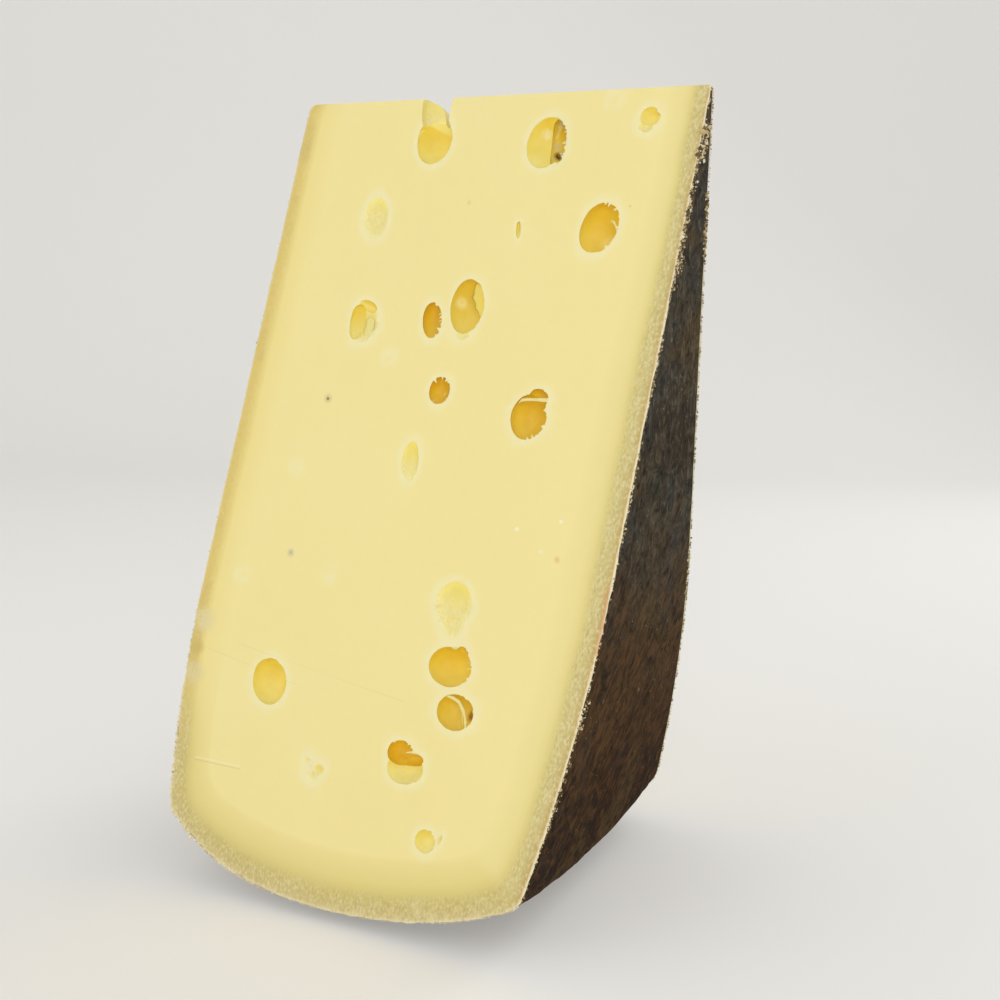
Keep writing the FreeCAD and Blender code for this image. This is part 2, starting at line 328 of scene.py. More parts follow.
def half_turn(radius):
    """The angle about the wheel's axis from its middle plane to a cut face, at a radius."""
    return HALF_CUT - np.arcsin(CUTS_MEET * math.sin(HALF_CUT) / radius)


def down_face(radius):
    """How far down a cut face the points at a radius lie."""
    return (radius * np.cos(half_turn(radius)) - CUTS_MEET) / math.cos(HALF_CUT)


def face_point(side, across, down, depth=0.0):
    """Points across and down a cut face and some depth under it, from where the two cuts meet."""
    sine, cosine = math.sin(HALF_CUT), math.cos(HALF_CUT)
    y = side * (down * sine - depth * cosine)
    z = -CUTS_MEET - down * cosine - depth * sine
    return np.stack(np.broadcast_arrays(across, y, z), axis=-1)


def inward(side):
    """The direction straight into a cut face."""
    return face_point(side, 0.0, 0.0, 1.0) - face_point(side, 0.0, 0.0, 0.0)


def in_face(side, points):
    """Points of the wheel's frame as (across, down, depth) on a cut face."""
    along_face = face_point(side, 0.0, 1.0) - face_point(side, 0.0, 0.0)
    away = points - face_point(side, 0.0, 0.0)
    return points[:, 0], away @ along_face, away @ inward(side)


def turned_point(x, radius, share):
    """Points of the turned outline. share runs from -1 at the front cut face to 1 at the back one."""
    angle = half_turn(radius) * share
    return np.stack(np.broadcast_arrays(x, radius * np.sin(angle), -radius * np.cos(angle)), axis=-1)


def leaned(points):
    """Points turned about Y as the wedge leans."""
    sine, cosine = math.sin(LEAN), math.cos(LEAN)
    x, y, z = np.moveaxis(points, -1, 0)
    return np.stack((x * cosine + z * sine, y, z * cosine - x * sine), axis=-1)


def wheel_centre():
    """The wheel's centre in the frame, in mm, where the leaned outline fills the frame's box."""
    highest = leaned(turned_point(OUTLINE[:, 0], OUTLINE[:, 1], 0.0)).max(axis=0)
    return np.array((BOX_HIGH.x * 1000 - highest[0], 0.0, BOX_HIGH.z * 1000 - highest[2]))


WHEEL_CENTRE = wheel_centre()


def moved_only(points):
    """Points moved from the wheel's frame to the row's, in metres."""
    return (leaned(points) + WHEEL_CENTRE) / 1000


def placed(points):
    """The same, with the heel pressed flat: no point lies lower than the flat spot."""
    moved = leaned(points) + WHEEL_CENTRE
    moved[..., 2] = np.maximum(moved[..., 2], BOX_LOW.z * 1000)
    return moved / 1000


def in_wheel(points):
    """The way back from the row's frame to the wheel's, in mm."""
    x, y, z = np.moveaxis(points * 1000 - WHEEL_CENTRE, -1, 0)
    sine, cosine = math.sin(LEAN), math.cos(LEAN)
    return np.stack((x * cosine - z * sine, y, z * cosine + x * sine), axis=-1)


# ---------------------------------------------------------------- meshes


def add_object(name, data):
    """A new object of the scene."""
    made = bpy.data.objects.new(name, data)
    bpy.context.scene.collection.objects.link(made)
    return made


def new_piece(name, points, faces, material):
    """A mesh object of the cheese, from points in the wheel's frame."""
    mesh = bpy.data.meshes.new(name)
    mesh.from_pydata(placed(np.asarray(points)).tolist(), [], faces)
    mesh.validate()
    mesh.update()
    piece = add_object(name, mesh)
    mesh.materials.append(material)
    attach(piece, "root")
    return piece


def grid_faces(numbers, closed=False):
    """The four-sided faces between the rows of a grid of vertex numbers."""
    across = np.concatenate((numbers, numbers[:, :1]), axis=1) if closed else numbers
    corners = (across[:-1, :-1], across[:-1, 1:], across[1:, 1:], across[1:, :-1])
    return np.stack(corners, axis=-1).reshape(-1, 4).tolist()


def set_values(mesh, **values):
    """Stores numbers by name for the material to read: one for each vertex, or one for all."""
    for name, numbers in values.items():
        layer = mesh.attributes.new(name, "FLOAT", "POINT")
        layer.data.foreach_set("value", np.full(len(mesh.vertices), numbers, np.float32))


def mesh_points(mesh):
    """A mesh's vertices as an array."""
    points = np.zeros(len(mesh.vertices) * 3, np.float32)
    mesh.vertices.foreach_get("co", points)
    return points.reshape(-1, 3).astype(float)


# ---------------------------------------------------------------- the body

RIND_SUNK = 0.8  # the body's surface under the rind lies this far inside the outline
LIP_SUNK = 0.15  # and the frayed lip at its cut faces this far
BODY_FINE, BODY_COARSE = 0.75, 3.2
BODY_COLUMNS = 18
BODY_SHARP = math.radians(38)  # edges sharper than this stay sharp
LEFT_BAND, RIM_BAND = 1.15, 0.88  # distances from the left side and the rim are stretched by these
BAND_ROUNDING = 4.0  # how softly the dry band turns its corners
ROW_SHARES = graded(FACE_LENGTH, BODY_FINE, BODY_COARSE, 8.0, 34.0)
COLUMN_SHARES = graded(2 * HALF_THICKNESS, BODY_FINE, BODY_COARSE, 18.0, 18.0)


def face_edges(inset):
    """A cut face's four edges as points (across, down), drawn in: thin end, right, rim and left."""
    loop = drawn_in(inset)
    loop = np.column_stack((loop[:, 0], down_face(loop[:, 1])))
    nose = patch_side(loop, NOSE_LEFT, NOSE_RIGHT, COLUMN_SHARES)
    right = patch_side(loop, NOSE_RIGHT, RIM_RIGHT, ROW_SHARES)
    rim = patch_side(loop, RIM_RIGHT, RIM_LEFT, 1 - COLUMN_SHARES[::-1])[::-1]
    left = patch_side(loop, RIM_LEFT, NOSE_LEFT, 1 - ROW_SHARES[::-1])[::-1]
    return nose, right, rim, left


def face_grid():
    """The points (across, down) of a cut face, in rows from the thin end to the rim."""
    nose, right, rim, left = face_edges(LIP_SUNK)
    v, u = ROW_SHARES[:, None, None], COLUMN_SHARES[None, :, None]
    ruled = (1 - v) * nose[None] + v * rim[None] + (1 - u) * left[:, None] + u * right[:, None]
    corners = (1 - v) * ((1 - u) * nose[0] + u * nose[-1]) + v * ((1 - u) * rim[0] + u * rim[-1])
    return ruled - corners


def round_face(nose, right, rim, left):
    """A face's four edges, or the vertex numbers along them, as one loop."""
    return np.concatenate((nose[:-1], right[:-1], rim[:0:-1], left[:0:-1]))


def edge_numbers(numbers):
    """The vertex numbers round a grid's edge."""
    return round_face(numbers[0], numbers[:, -1], numbers[-1], numbers[:, 0])


def radius_at(down):
    """The radius from the wheel's axis at a place down a cut face."""
    return np.hypot(down * math.sin(HALF_CUT), CUTS_MEET + down * math.cos(HALF_CUT))


def edge_distances(points):
    """How far points of the wheel's frame lie inside the right side, the left side and the rim.

    The dry band is narrower at the left side and near the top right, and wider at the rim, so the
    distances are stretched to match."""
    x, radius = points[:, 0], np.hypot(points[:, 1], points[:, 2])
    right = OUTLINE[NOSE_RIGHT : RIM_RIGHT + 1]
    left = OUTLINE[RIM_LEFT : NOSE_LEFT + 1][::-1]
    rim = OUTLINE[RIM_RIGHT : RIM_LEFT + 1][::-1]
    narrow = 1 + 0.3 * smooth(radius, 300.0, 160.0)
    from_right = (np.interp(radius, right[:, 1], right[:, 0]) - x) * narrow
    from_left = (x - np.interp(radius, left[:, 1], left[:, 0])) * LEFT_BAND
    from_rim = (np.interp(x, rim[:, 0], rim[:, 1]) - radius) * RIM_BAND
    return np.maximum(np.stack((from_right, from_left, from_rim)), 0.0)


def rind_distance(points):
    """How far inside the wedge's rind points of the wheel's frame lie, with the corners rounded off."""
    distances = edge_distances(points)
    closest = distances.min(axis=0)
    crowd = np.exp((closest - distances) / BAND_ROUNDING).sum(axis=0)
    return closest - BAND_ROUNDING * np.log(crowd) * smooth(closest, 0.0, 12.0)


def dryness(points):
    """How dry the band inside the rind is at the points: little on the left side, until low down."""
    down = down_face(np.hypot(points[:, 1], points[:, 2]))
    return np.maximum(smooth(points[:, 0], -78.0, -66.0), smooth(down, 290.0, 345.0))


def at_heel(points):
    """1 where the rim is the nearest edge and on the left side, 0 at the right side."""
    from_right, from_left, from_rim = edge_distances(points)
    return smooth(from_right - np.minimum(from_left, from_rim), -3.0, 5.0)


def lower_left(points):
    """1 at the lower left corner of a cut face, where its edge is the most ragged."""
    down = down_face(np.hypot(points[..., 1], points[..., 2]))
    return smooth(points[..., 0], -10.0, -75.0) * smooth(down, 285.0, 335.0)


def frayed(points, edge, side):
    """A face's points with its lip pushed out and in by small amounts, so that the edge is ragged."""
    loop = points[edge]
    run = np.roll(loop, -1, axis=0) - np.roll(loop, 1, axis=0)
    run /= np.linalg.norm(run, axis=1, keepdims=True)
    out = np.cross(run, inward(side)) * side
    dry = 1.0 - smooth(rind_distance(loop), 0.5, 2.0)
    push = 0.35 * noise(loop, 1.7, 5 + side) + 0.22 * noise(loop, 5.0, 8 + side)
    points[edge] = loop + out * (push * dry * (1 + 2.0 * lower_left(loop)))[:, None]


def body_mesh():
    """The wedge without its eyes: two cut faces, and the sides that the rind covers."""
    face = face_grid()
    rows, columns = face.shape[:2]
    front = np.arange(rows * columns).reshape(rows, columns)
    back = front + rows * columns
    points = []
    for side in (FRONT, BACK):
        flat = face_point(side, face[..., 0], face[..., 1]).reshape(-1, 3)
        flat = flat - inward(side) * face_relief(flat, side)[:, None]
        frayed(flat, edge_numbers(front), side)
        points.append(flat)
    faces = [quad[::-1] for quad in grid_faces(front)] + grid_faces(back)
    loop = round_face(*face_edges(RIND_SUNK))
    shares = np.sin(np.linspace(-math.pi / 2, math.pi / 2, BODY_COLUMNS + 1))[1:-1]
    rings = [turned_point(loop[:, 0], radius_at(loop[:, 1]), share) for share in shares]
    first = 2 * rows * columns
    between = first + np.arange(len(rings) * len(loop)).reshape(len(rings), -1)
    loops = np.vstack((edge_numbers(front), between, edge_numbers(back)))
    faces += grid_faces(loops, closed=True)
    return np.vstack(points + rings), faces


def face_relief(points, side):
    """How far a cut face stands out at the points: gentle waves, and grains in the dry band."""
    band = (1.0 - smooth(rind_distance(points), 5.0, 11.0)) * (0.25 + 0.75 * dryness(points))
    waves = 0.22 * noise(points, 46.0, side) + 0.05 * noise(points, 15.0, side + 2)
    grains = 0.16 * noise(points, 1.9, 5) + 0.12 * noise(points, 4.1, 6)
    return waves + band * grains


# ---------------------------------------------------------------- cutting the eyes


LIP_LEVELS = np.array((-1.6, -0.5, 0.0, 0.25, 0.5, 0.8, 1.2))  # mm deep
TOOTH_SPREAD = math.radians(75)
EYE_GRAIN = {FRONT: 0.42, BACK: 0.8}  # mm between the points round a rim
SHALLOW = 3.0  # bubbles no deeper than this have a more uneven rim


def ball_radius(bubble):
    """The radius of the ball that opens a face to the bubble's width at the bubble's depth."""
    return (bubble.width**2 / 4 + bubble.depth**2) / (2 * bubble.depth)


def teeth(bubble, turn, number):
    """How far torn teeth reach in from a bubble's rim, for each direction round it."""
    random = np.random.default_rng(100 + number)
    rim = (bubble.width + bubble.height) / 4
    count = round(2 * TOOTH_SPREAD * rim / 2.0)
    middle = math.radians(bubble.torn_at) + random.uniform(-1.0, 1.0, count) * TOOTH_SPREAD
    half = random.uniform(0.35, 0.85, count) / rim
    reach = bubble.ragged * random.uniform(0.3, 1.0, count) ** 1.5 * 1.3
    away = np.abs((turn[:, None] - middle + math.pi) % (2 * math.pi) - math.pi)
    return (reach * np.clip(1 - away / half, 0.0, 1.0)).max(axis=1)


def eye_levels(bubble, grain):
    """How deep each ring of a bubble lies, and how wide it is as a share of the ball's radius."""
    radius = ball_radius(bubble)
    centre = bubble.depth - radius
    lip = LIP_LEVELS[LIP_LEVELS < bubble.depth * 0.5]
    start = math.asin(min(1.0, (lip[-1] - centre) / radius))
    steps = max(5, round((math.pi / 2 - start) * radius / (2.2 * grain)))
    deep = centre + radius * np.sin(np.linspace(start, math.pi / 2, steps + 1))[1:-1]
    levels = np.concatenate((lip, deep))
    return levels, np.sqrt(np.maximum(0.0, 1 - ((np.maximum(levels, 0.0) - centre) / radius) ** 2))


def eye_cutter(side, bubble, number):
    """A closed form that cuts one bubble: rings from above the face down to the bubble's bottom."""
    around = max(20, round(math.pi * (bubble.width + bubble.height) / 2 / EYE_GRAIN[side]))
    turn = np.linspace(0.0, 2 * math.pi, around, endpoint=False)
    turn = turn - 0.3 * np.sin(turn - math.radians(bubble.torn_at))
    levels, share = eye_levels(bubble, EYE_GRAIN[side])

    wall = np.stack((np.cos(turn), np.sin(turn), np.full(around, 3.7 * number)), axis=-1)
    uneven = 1.0 if bubble.depth > SHALLOW else 2.0
    wobble = 1 + uneven * (0.045 * noise(wall, 0.9, 3) + 0.02 * noise(wall, 0.35, 4))
    hang = np.exp(-((np.maximum(levels, 0.0) / 0.6) ** 2))
    torn = teeth(bubble, turn, number) + 0.1 * noise(wall * bubble.height, 1.0, 8)
    reach = ball_radius(bubble) * share[:, None] * wobble[None]
    across = (reach - hang[:, None] * torn) * np.cos(turn)
    down = (reach * bubble.height / bubble.width - hang[:, None] * torn) * np.sin(turn)

    tilt = math.radians(bubble.tilt)
    middle_across, middle_down = bubble.across * HALF_THICKNESS, bubble.down * FACE_LENGTH
    face_across = middle_across + across * math.cos(tilt) + down * math.sin(tilt)
    face_down = middle_down + down * math.cos(tilt) - across * math.sin(tilt)
    points = face_point(side, face_across, face_down, levels[:, None])
    lumps = 0.28 * noise(points, 3.8, 1) + 0.12 * noise(points, 1.5, 2)
    points = points + inward(side) * (lumps * smooth(levels, 0.5, 2.5)[:, None])[..., None]
    bottom = face_point(side, middle_across, middle_down, bubble.depth)
    top = face_point(side, middle_across, middle_down, levels[0])
    numbers = np.arange(points.shape[0] * around).reshape(-1, around)
    faces = grid_faces(numbers, closed=True)
    last = numbers.size
    faces += [(last, a, b) for a, b in zip(numbers[-1], np.roll(numbers[-1], -1))]
    faces += [(last + 1, b, a) for a, b in zip(numbers[0], np.roll(numbers[0], -1))]
    if side == BACK:
        faces = [face[::-1] for face in faces]
    return np.vstack((points.reshape(-1, 3), bottom, top)), faces


def notch_cutter(shape, levels, shares):
    """A closed form into the front face: the shape at each level, drawn in to a share of its size."""
    rim = along(np.array(shape), np.linspace(0.0, 1.0, NOTCH_POINTS))
    middle = (rim.min(axis=0) + rim.max(axis=0)) / 2
    levels, shares = np.asarray(levels)[:, None], np.asarray(shares)[:, None, None]
    place = middle + (rim - middle) * shares
    flat = face_point(FRONT, place[..., 0], place[..., 1], levels)
    order = np.arange(NOTCH_POINTS)
    shift = 0.22 * noise(flat, 2.2, 4) * smooth(order, 0, 5) * smooth(order[::-1], 0, 5)
    points = face_point(FRONT, place[..., 0] + shift, place[..., 1] + shift, levels)
    numbers = np.arange(points.shape[0] * points.shape[1]).reshape(points.shape[:2])
    faces = grid_faces(numbers, closed=True)
    faces += [numbers[0][::-1].tolist(), numbers[-1].tolist()]
    return points.reshape(-1, 3), [face[::-1] for face in faces]


def notch_cutters():
    """The opening in the front face and the gap through the wall behind it."""
    gap = notch_cutter(NOTCH_GAP, GAP_DEPTHS, np.ones(len(GAP_DEPTHS)))
    return [notch_cutter(NOTCH_OPENING, *zip(*OPENING_BOWL)), gap]


def cut_all(piece, cutters):
    """Takes the cutters out of a piece, one after the other."""
    helpers = []
    for points, faces in cutters:
        mesh = bpy.data.meshes.new("cutter")
        mesh.from_pydata(moved_only(points).tolist(), [], faces)
        helper = add_object("cutter", mesh)
        helpers.append(helper)
        made = piece.modifiers.new("cut", "BOOLEAN")
        made.operation = "DIFFERENCE"
        made.solver = "MANIFOLD"
        made.object = helper
    graph = bpy.context.evaluated_depsgraph_get()
    cut = bpy.data.meshes.new_from_object(piece.evaluated_get(graph))
    piece.modifiers.clear()
    piece.data = cut
    for helper in helpers:
        bpy.data.meshes.remove(helper.data)


FAR = 60.0  # mm, for points that no eye or rind is near
SKIN = 0.08  # an eye starts this deep under its face
RIM_REACH = 1.2  # its colour reaches this far outside its rim
BUBBLE_SHELL = 3.5  # and no further than this from its bubble's surface
PAINTED_LIGHT_FALL = 0.28  # how much paler an eye is towards its bottom: painted light, as if lit more from above
NOTCH_REACH = 14.0  # the notched eye's paler part is no deeper than this


def bubble_shares(bubble, across, down):
    """Places on a face as shares of a bubble's half width and half height, along its own axes."""
    tilt = math.radians(bubble.tilt)
    across = across - bubble.across * HALF_THICKNESS
    down = down - bubble.down * FACE_LENGTH
    beside = (across * math.cos(tilt) - down * math.sin(tilt)) / (bubble.width / 2)
    below = (down * math.cos(tilt) + across * math.sin(tilt)) / (bubble.height / 2)
    return beside, below


def paler_at_notch(gold, across, down, into):
    """The gold, held down where the notched eye lies above its border."""
    (start, start_down), (stop, stop_down) = NOTCH_BORDER
    border = start_down + (across - start) / (stop - start) * (stop_down - start_down)
    above = (into > SKIN) & (into < NOTCH_REACH) & (across > start - 2.0) & (across < stop + 1.0)
    share = smooth(border - down, -0.5, 0.7) * above
    return gold + (np.minimum(gold, OPENING_TONE.tone) - gold) * share


def eye_values(points):
    """Four numbers for each point of the wheel's frame, for the material to read.

    They are how far outside the nearest eye's rim it lies, how deep in an eye, how golden it is,
    which is less at an eye's bottom than at its top as painted light from above, and how near the
    eye's wall, which the material brightens as painted light."""
    nearest, depth = np.full(len(points), FAR), np.zeros(len(points))
    gold, wall, closeness = np.zeros(len(points)), np.zeros(len(points)), np.full(len(points), FAR)
    raised = {side: face_relief(points, side) for side in (FRONT, BACK)}
    for side, bubble in EYES + [(FRONT, OPENING_TONE)]:
        across, down, into = in_face(side, points)
        into = into + raised[side]
        beside, below = bubble_shares(bubble, across, down)
        spread = np.hypot(beside, below)
        away = (spread - 1.0) * (bubble.width + bubble.height) / 4
        facing = (into < bubble.depth + 2.0) & (into > -1.0)
        if bubble is not OPENING_TONE:
            nearest = np.where(facing, np.minimum(nearest, away), nearest)
        radius = ball_radius(bubble)
        level = (into - bubble.depth + radius) / radius
        off = np.abs(np.hypot(spread * bubble.width / 2 / radius, level) - 1.0)
        inside = facing & (away < RIM_REACH) & (into > SKIN) & (off * radius < BUBBLE_SHELL)
        depth = np.where(inside, np.maximum(depth, into), depth)
        own = inside & (off < closeness)
        closeness = np.where(own, off, closeness)
        # painted light: the gold fades towards each eye's bottom, as if lit more from above
        gold = np.where(own, bubble.tone - PAINTED_LIGHT_FALL * np.clip(below + 0.1, -1.0, 1.0), gold)
        wall = np.where(own, smooth(spread, 0.5, 1.0), wall)
    across, down, into = in_face(FRONT, points)
    gold = paler_at_notch(gold, across, down, into)
    for place_across, place_down, radius in HIDDEN_BUBBLES:
        away = np.abs(np.hypot(across - place_across, down - place_down) - radius) + 1.2
        nearest = np.where(np.abs(into) < 1.0, np.minimum(nearest, away), nearest)
    return nearest, depth, gold, wall


def make_body(material):
    """The cheese itself, with its eyes and the notch cut, and the distances that its material reads."""
    points, faces = body_mesh()
    body = new_piece("paste", points, faces, material)
    cutters = [eye_cutter(side, bubble, number) for number, (side, bubble) in enumerate(EYES)]
    cut_all(body, cutters + notch_cutters())
    mesh = body.data
    made = in_wheel(mesh_points(mesh))
    away, depth, gold, wall = eye_values(made)
    set_values(mesh, rind_mm=rind_distance(made), dry=dryness(made), eye_mm=away, depth_mm=depth)
    set_values(mesh, gold=gold, wall=wall, heel=at_heel(made))
    mesh.shade_smooth()
    mesh.set_sharp_from_angle(angle=BODY_SHARP)
    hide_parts("cheese")
    return body


# ---------------------------------------------------------------- torn strips in the eyes

# Each strip is its tone and a line of (mm across, mm down, mm deep, mm wide) on the front face.
# Both ends are sunk in the cheese, or one end is and the other is a free tip.
STRIPS = {
    "across_strand": (0.06, (
        (40.0, 148.0, 1.5, 0.6), (41.6, 146.6, 0.6, 1.2), (44.2, 145.9, 0.3, 1.7),
        (47.3, 145.5, 0.25, 1.8), (50.3, 145.1, 0.3, 1.8), (53.0, 144.8, 0.5, 1.9),
        (55.6, 145.0, 1.2, 2.1),
    )),
    "across_row_middle": (0.06, (
        (37.6, 276.4, 1.6, 1.3), (39.6, 276.2, 0.5, 1.5), (42.2, 276.4, 0.3, 1.6),
        (44.9, 277.2, 0.3, 1.6), (47.7, 280.0, 0.4, 1.5), (49.4, 283.4, 0.6, 1.4),
        (50.4, 287.0, 1.0, 1.3), (50.6, 289.4, 2.0, 1.4),
    )),
    "row_middle_hair": (0.3, (
        (45.0, 277.8, 0.9, 0.9), (47.4, 282.2, 1.7, 0.5), (48.0, 286.6, 2.8, 0.6),
    )),
    "curl": (0.1, (
        (67.4, 69.8, 1.4, 1.4), (66.2, 67.8, 0.5, 1.2), (64.9, 66.0, 0.3, 1.0),
        (63.6, 65.2, 0.8, 0.8), (63.0, 66.0, 1.6, 0.4),
    )),
    "tooth": (0.1, ((66.8, 59.6, 0.9, 1.6), (64.6, 60.0, 0.5, 1.0), (62.8, 60.6, 0.6, 0.3))),
    "flap": (0.1, (
        (33.6, 302.9, 1.2, 2.4), (31.0, 303.1, 0.7, 2.0), (28.4, 303.7, 0.5, 1.2),
        (25.8, 304.6, 0.7, 0.3),
    )),
    "membrane_pair": (0.5, (
        (9.0, 96.8, 2.6, 4.6), (9.8, 100.0, 1.7, 6.8), (10.9, 104.0, 1.3, 7.4),
        (11.6, 107.6, 1.4, 6.6), (12.6, 110.6, 2.0, 5.0), (13.8, 113.0, 3.0, 4.0),
    )),
    "membrane_left": (0.12, (
        (-42.6, 119.4, 2.6, 1.6), (-42.6, 121.6, 1.6, 3.4), (-41.6, 125.0, 1.2, 5.2),
        (-41.8, 129.0, 1.3, 5.0), (-42.6, 132.6, 2.4, 3.6),
    )),
    "tongue": (0.05, ((37.2, 253.4, 0.9, 5.4), (37.3, 254.8, 0.5, 4.8), (37.5, 256.4, 0.6, 2.4))),
    "row_top_hair": (0.2, (
        (48.6, 258.6, 0.9, 1.0), (46.2, 259.6, 0.5, 0.6), (44.4, 260.8, 0.9, 0.3),
    )),
    "row_top_hair_low": (0.2, (
        (47.9, 262.6, 0.9, 0.8), (46.0, 262.4, 0.6, 0.5), (44.8, 263.4, 1.2, 0.3),
    )),
    "double_top_tooth": (0.05, (
        (35.8, 28.2, 0.9, 1.2), (33.8, 28.4, 0.5, 0.8), (32.4, 28.9, 0.7, 0.3),
    )),
    "double_top_tooth_low": (0.05, (
        (35.6, 33.6, 0.9, 1.6), (33.8, 33.4, 0.5, 1.1), (32.6, 33.9, 0.8, 0.3),
    )),
    "small_tooth_high": (0.15, (
        (-4.4, 114.4, 0.8, 1.6), (-6.2, 114.8, 0.5, 1.0), (-7.6, 115.4, 0.7, 0.3),
    )),
    "small_tooth": (0.15, (
        (-4.4, 118.2, 0.8, 1.4), (-5.7, 118.0, 0.5, 0.9), (-6.8, 118.4, 0.6, 0.3),
    )),
}
STRIP_STEP = 0.45
STRIP_THICK = 0.6
STRIP_ROUND = 8  # points round a strip


def strip_points(line, layer):
    """A strip's cross-sections as rings of points: flat ovals along the line, with ragged sides."""
    line = np.array(line)
    count = max(6, round(line_length(line[:, :3])[-1] / STRIP_STEP))
    spine = along(line, np.linspace(0.0, 1.0, count * 4))
    for _ in range(3):
        spine[1:-1] = (spine[:-2] + spine[1:-1] * 2 + spine[2:]) / 4
    spine = along(spine, np.linspace(0.0, 1.0, count))
    place, width = spine[:, :3], spine[:, 3]
    run = np.gradient(place, axis=0)
    run /= np.linalg.norm(run, axis=1, keepdims=True)
    beside = np.cross(run, (0.0, 0.0, 1.0))
    beside /= np.linalg.norm(beside, axis=1, keepdims=True)
    under = np.cross(beside, run)
    ragged = 1 + 0.3 * noise(place, 1.1, layer)
    angle = np.linspace(0.0, 2 * math.pi, STRIP_ROUND, endpoint=False)[None, :, None]
    thick = np.minimum(STRIP_THICK, width)[:, None, None]
    ring = place[:, None] + beside[:, None] * np.cos(angle) * (width * ragged / 2)[:, None, None]
    ring = ring + under[:, None] * np.sin(angle) * thick / 2
    return face_point(FRONT, ring[..., 0], ring[..., 1], ring[..., 2])


def make_strips(material):
    """The strands, flaps and hairs of cheese that were left hanging when the knife went through eyes."""
    points, faces, tones, total = [], [], [], 0
    for layer, (tone, line) in enumerate(STRIPS.values()):
        rings = strip_points(line, layer)
        numbers = total + np.arange(rings.shape[0] * STRIP_ROUND).reshape(-1, STRIP_ROUND)
        faces += grid_faces(numbers, closed=True)
        faces += [numbers[0][::-1].tolist(), numbers[-1].tolist()]
        points.append(rings.reshape(-1, 3))
        tones.append(np.full(numbers.size, tone))
        total += numbers.size
    strips = new_piece("strips", np.vstack(points), faces, material)
    strips.data.shade_smooth()
    set_values(strips.data, rind_mm=FAR, eye_mm=FAR, depth_mm=1.0)
    set_values(strips.data, gold=np.concatenate(tones), wall=0.0, heel=0.0)
    return strips


# ---------------------------------------------------------------- crumbs on the cut edges

# Stretches of the cut faces' edges where crumbs lie: the face, the side, mm down from and to, how many,
# how far they spread over the rind in mm, and their size in mm.
CRUMB_BELTS = (
    (FRONT, RIGHT, 6.0, 348.0, 420, 0.8, 0.45),
    (FRONT, RIGHT, 21.0, 36.0, 90, 8.0, 1.3),
    (FRONT, RIGHT, 32.0, 84.0, 230, 4.2, 0.75),
    (FRONT, RIGHT, 76.0, 92.0, 80, 7.0, 0.7),
    (FRONT, RIGHT, 112.0, 136.0, 70, 2.6, 0.6),
    (FRONT, RIGHT, 160.0, 196.0, 50, 2.0, 0.5),
    (FRONT, RIGHT, 262.0, 276.0, 60, 4.6, 0.7),
    (FRONT, RIGHT, 288.0, 316.0, 70, 3.4, 0.6),
    (FRONT, LEFT, 26.0, 350.0, 240, 0.8, 0.45),
    (FRONT, LEFT, 264.0, 300.0, 90, 1.2, 0.65),
    (FRONT, LEFT, 305.0, 356.0, 260, 1.4, 0.85),
    (BACK, RIGHT, 8.0, 348.0, 420, 0.8, 0.45),
    (BACK, RIGHT, 48.0, 78.0, 90, 3.6, 0.7),
    (BACK, RIGHT, 214.0, 238.0, 60, 3.0, 0.6),
    (BACK, LEFT, 28.0, 350.0, 420, 0.8, 0.45),
    (BACK, LEFT, 118.0, 150.0, 80, 3.2, 0.65),
    (BACK, LEFT, 300.0, 350.0, 120, 1.4, 0.7),
)
HEEL_CRUMBS = 1600
FACE_CRUMBS = (  # mm across and down, how far they spread, how many
    (24.4, 241.4, 1.6, 14), (27.6, 246.6, 1.6, 6), (-17.0, 325.0, 3.4, 14), (34.2, 39.0, 1.2, 9),
    (34.9, 33.0, 0.9, 6), (50.0, 333.0, 1.4, 6), (-40.4, 127.0, 2.4, 8), (71.6, 25.6, 1.6, 6),
    (1.2, 141.8, 2.6, 9), (6.6, 151.0, 2.4, 7), (-2.6, 155.0, 2.2, 5),
)
# A crumb is a lumpy double pyramid: its six corners and its eight faces.
CRUMB_SHAPE = np.array(((1, 0, 0), (-1, 0, 0), (0, 1, 0), (0, -1, 0), (0, 0, 1), (0, 0, -1)), float)
CRUMB_FACES = np.array(
    ((0, 2, 4), (2, 1, 4), (1, 3, 4), (3, 0, 4), (2, 0, 5), (1, 2, 5), (3, 1, 5), (0, 3, 5))
)
CRUMB_CORNERS = len(CRUMB_SHAPE)


def belt_crumbs(random, stretch, belt):
    """The places, sizes and tints of the crumbs along one stretch of an edge."""
    face, side, start, stop, count, spread, size = belt
    middle = len(stretch) // 2
    half = stretch[:middle] if side == RIGHT else stretch[middle:]
    down = down_face(half[:, 1])
    order = np.argsort(down)
    at = random.uniform(start, stop, count)
    x = np.interp(at, down[order], half[order, 0])
    radius = radius_at(at)
    over = random.exponential(spread / 2.2, count).clip(0.0, spread)
    share = face * (1 - over / (radius * np.sin(half_turn(radius))))
    places = turned_point(x + side * random.uniform(-0.15, 0.2, count), radius, share)
    sizes = size * random.uniform(0.4, 1.3, count)
    paleness = 1.5 if side == RIGHT else 0.2
    return places, sizes, random.uniform(0.0, 1.0, count) ** paleness


def heel_crumbs(random, heel):
    """The places, sizes and tints of the crumbs along both edges of the heel, larger at the left."""
    x, radius = heel[random.integers(0, len(heel), HEEL_CRUMBS)].T
    share = 1 - random.exponential(0.5, HEEL_CRUMBS) / (radius * np.sin(half_turn(radius)))
    share = share * random.choice((FRONT, BACK), HEEL_CRUMBS)
    at_left = smooth(x, 0.0, -75.0)
    out = random.uniform(-0.3, 0.3, HEEL_CRUMBS) + at_left * random.uniform(0.0, 0.8, HEEL_CRUMBS)
    places = turned_point(x, radius + out, share)
    sizes = (0.42 + 0.4 * at_left) * random.uniform(0.4, 1.3, HEEL_CRUMBS)
    return places, sizes, random.uniform(0.5, 1.0, HEEL_CRUMBS)


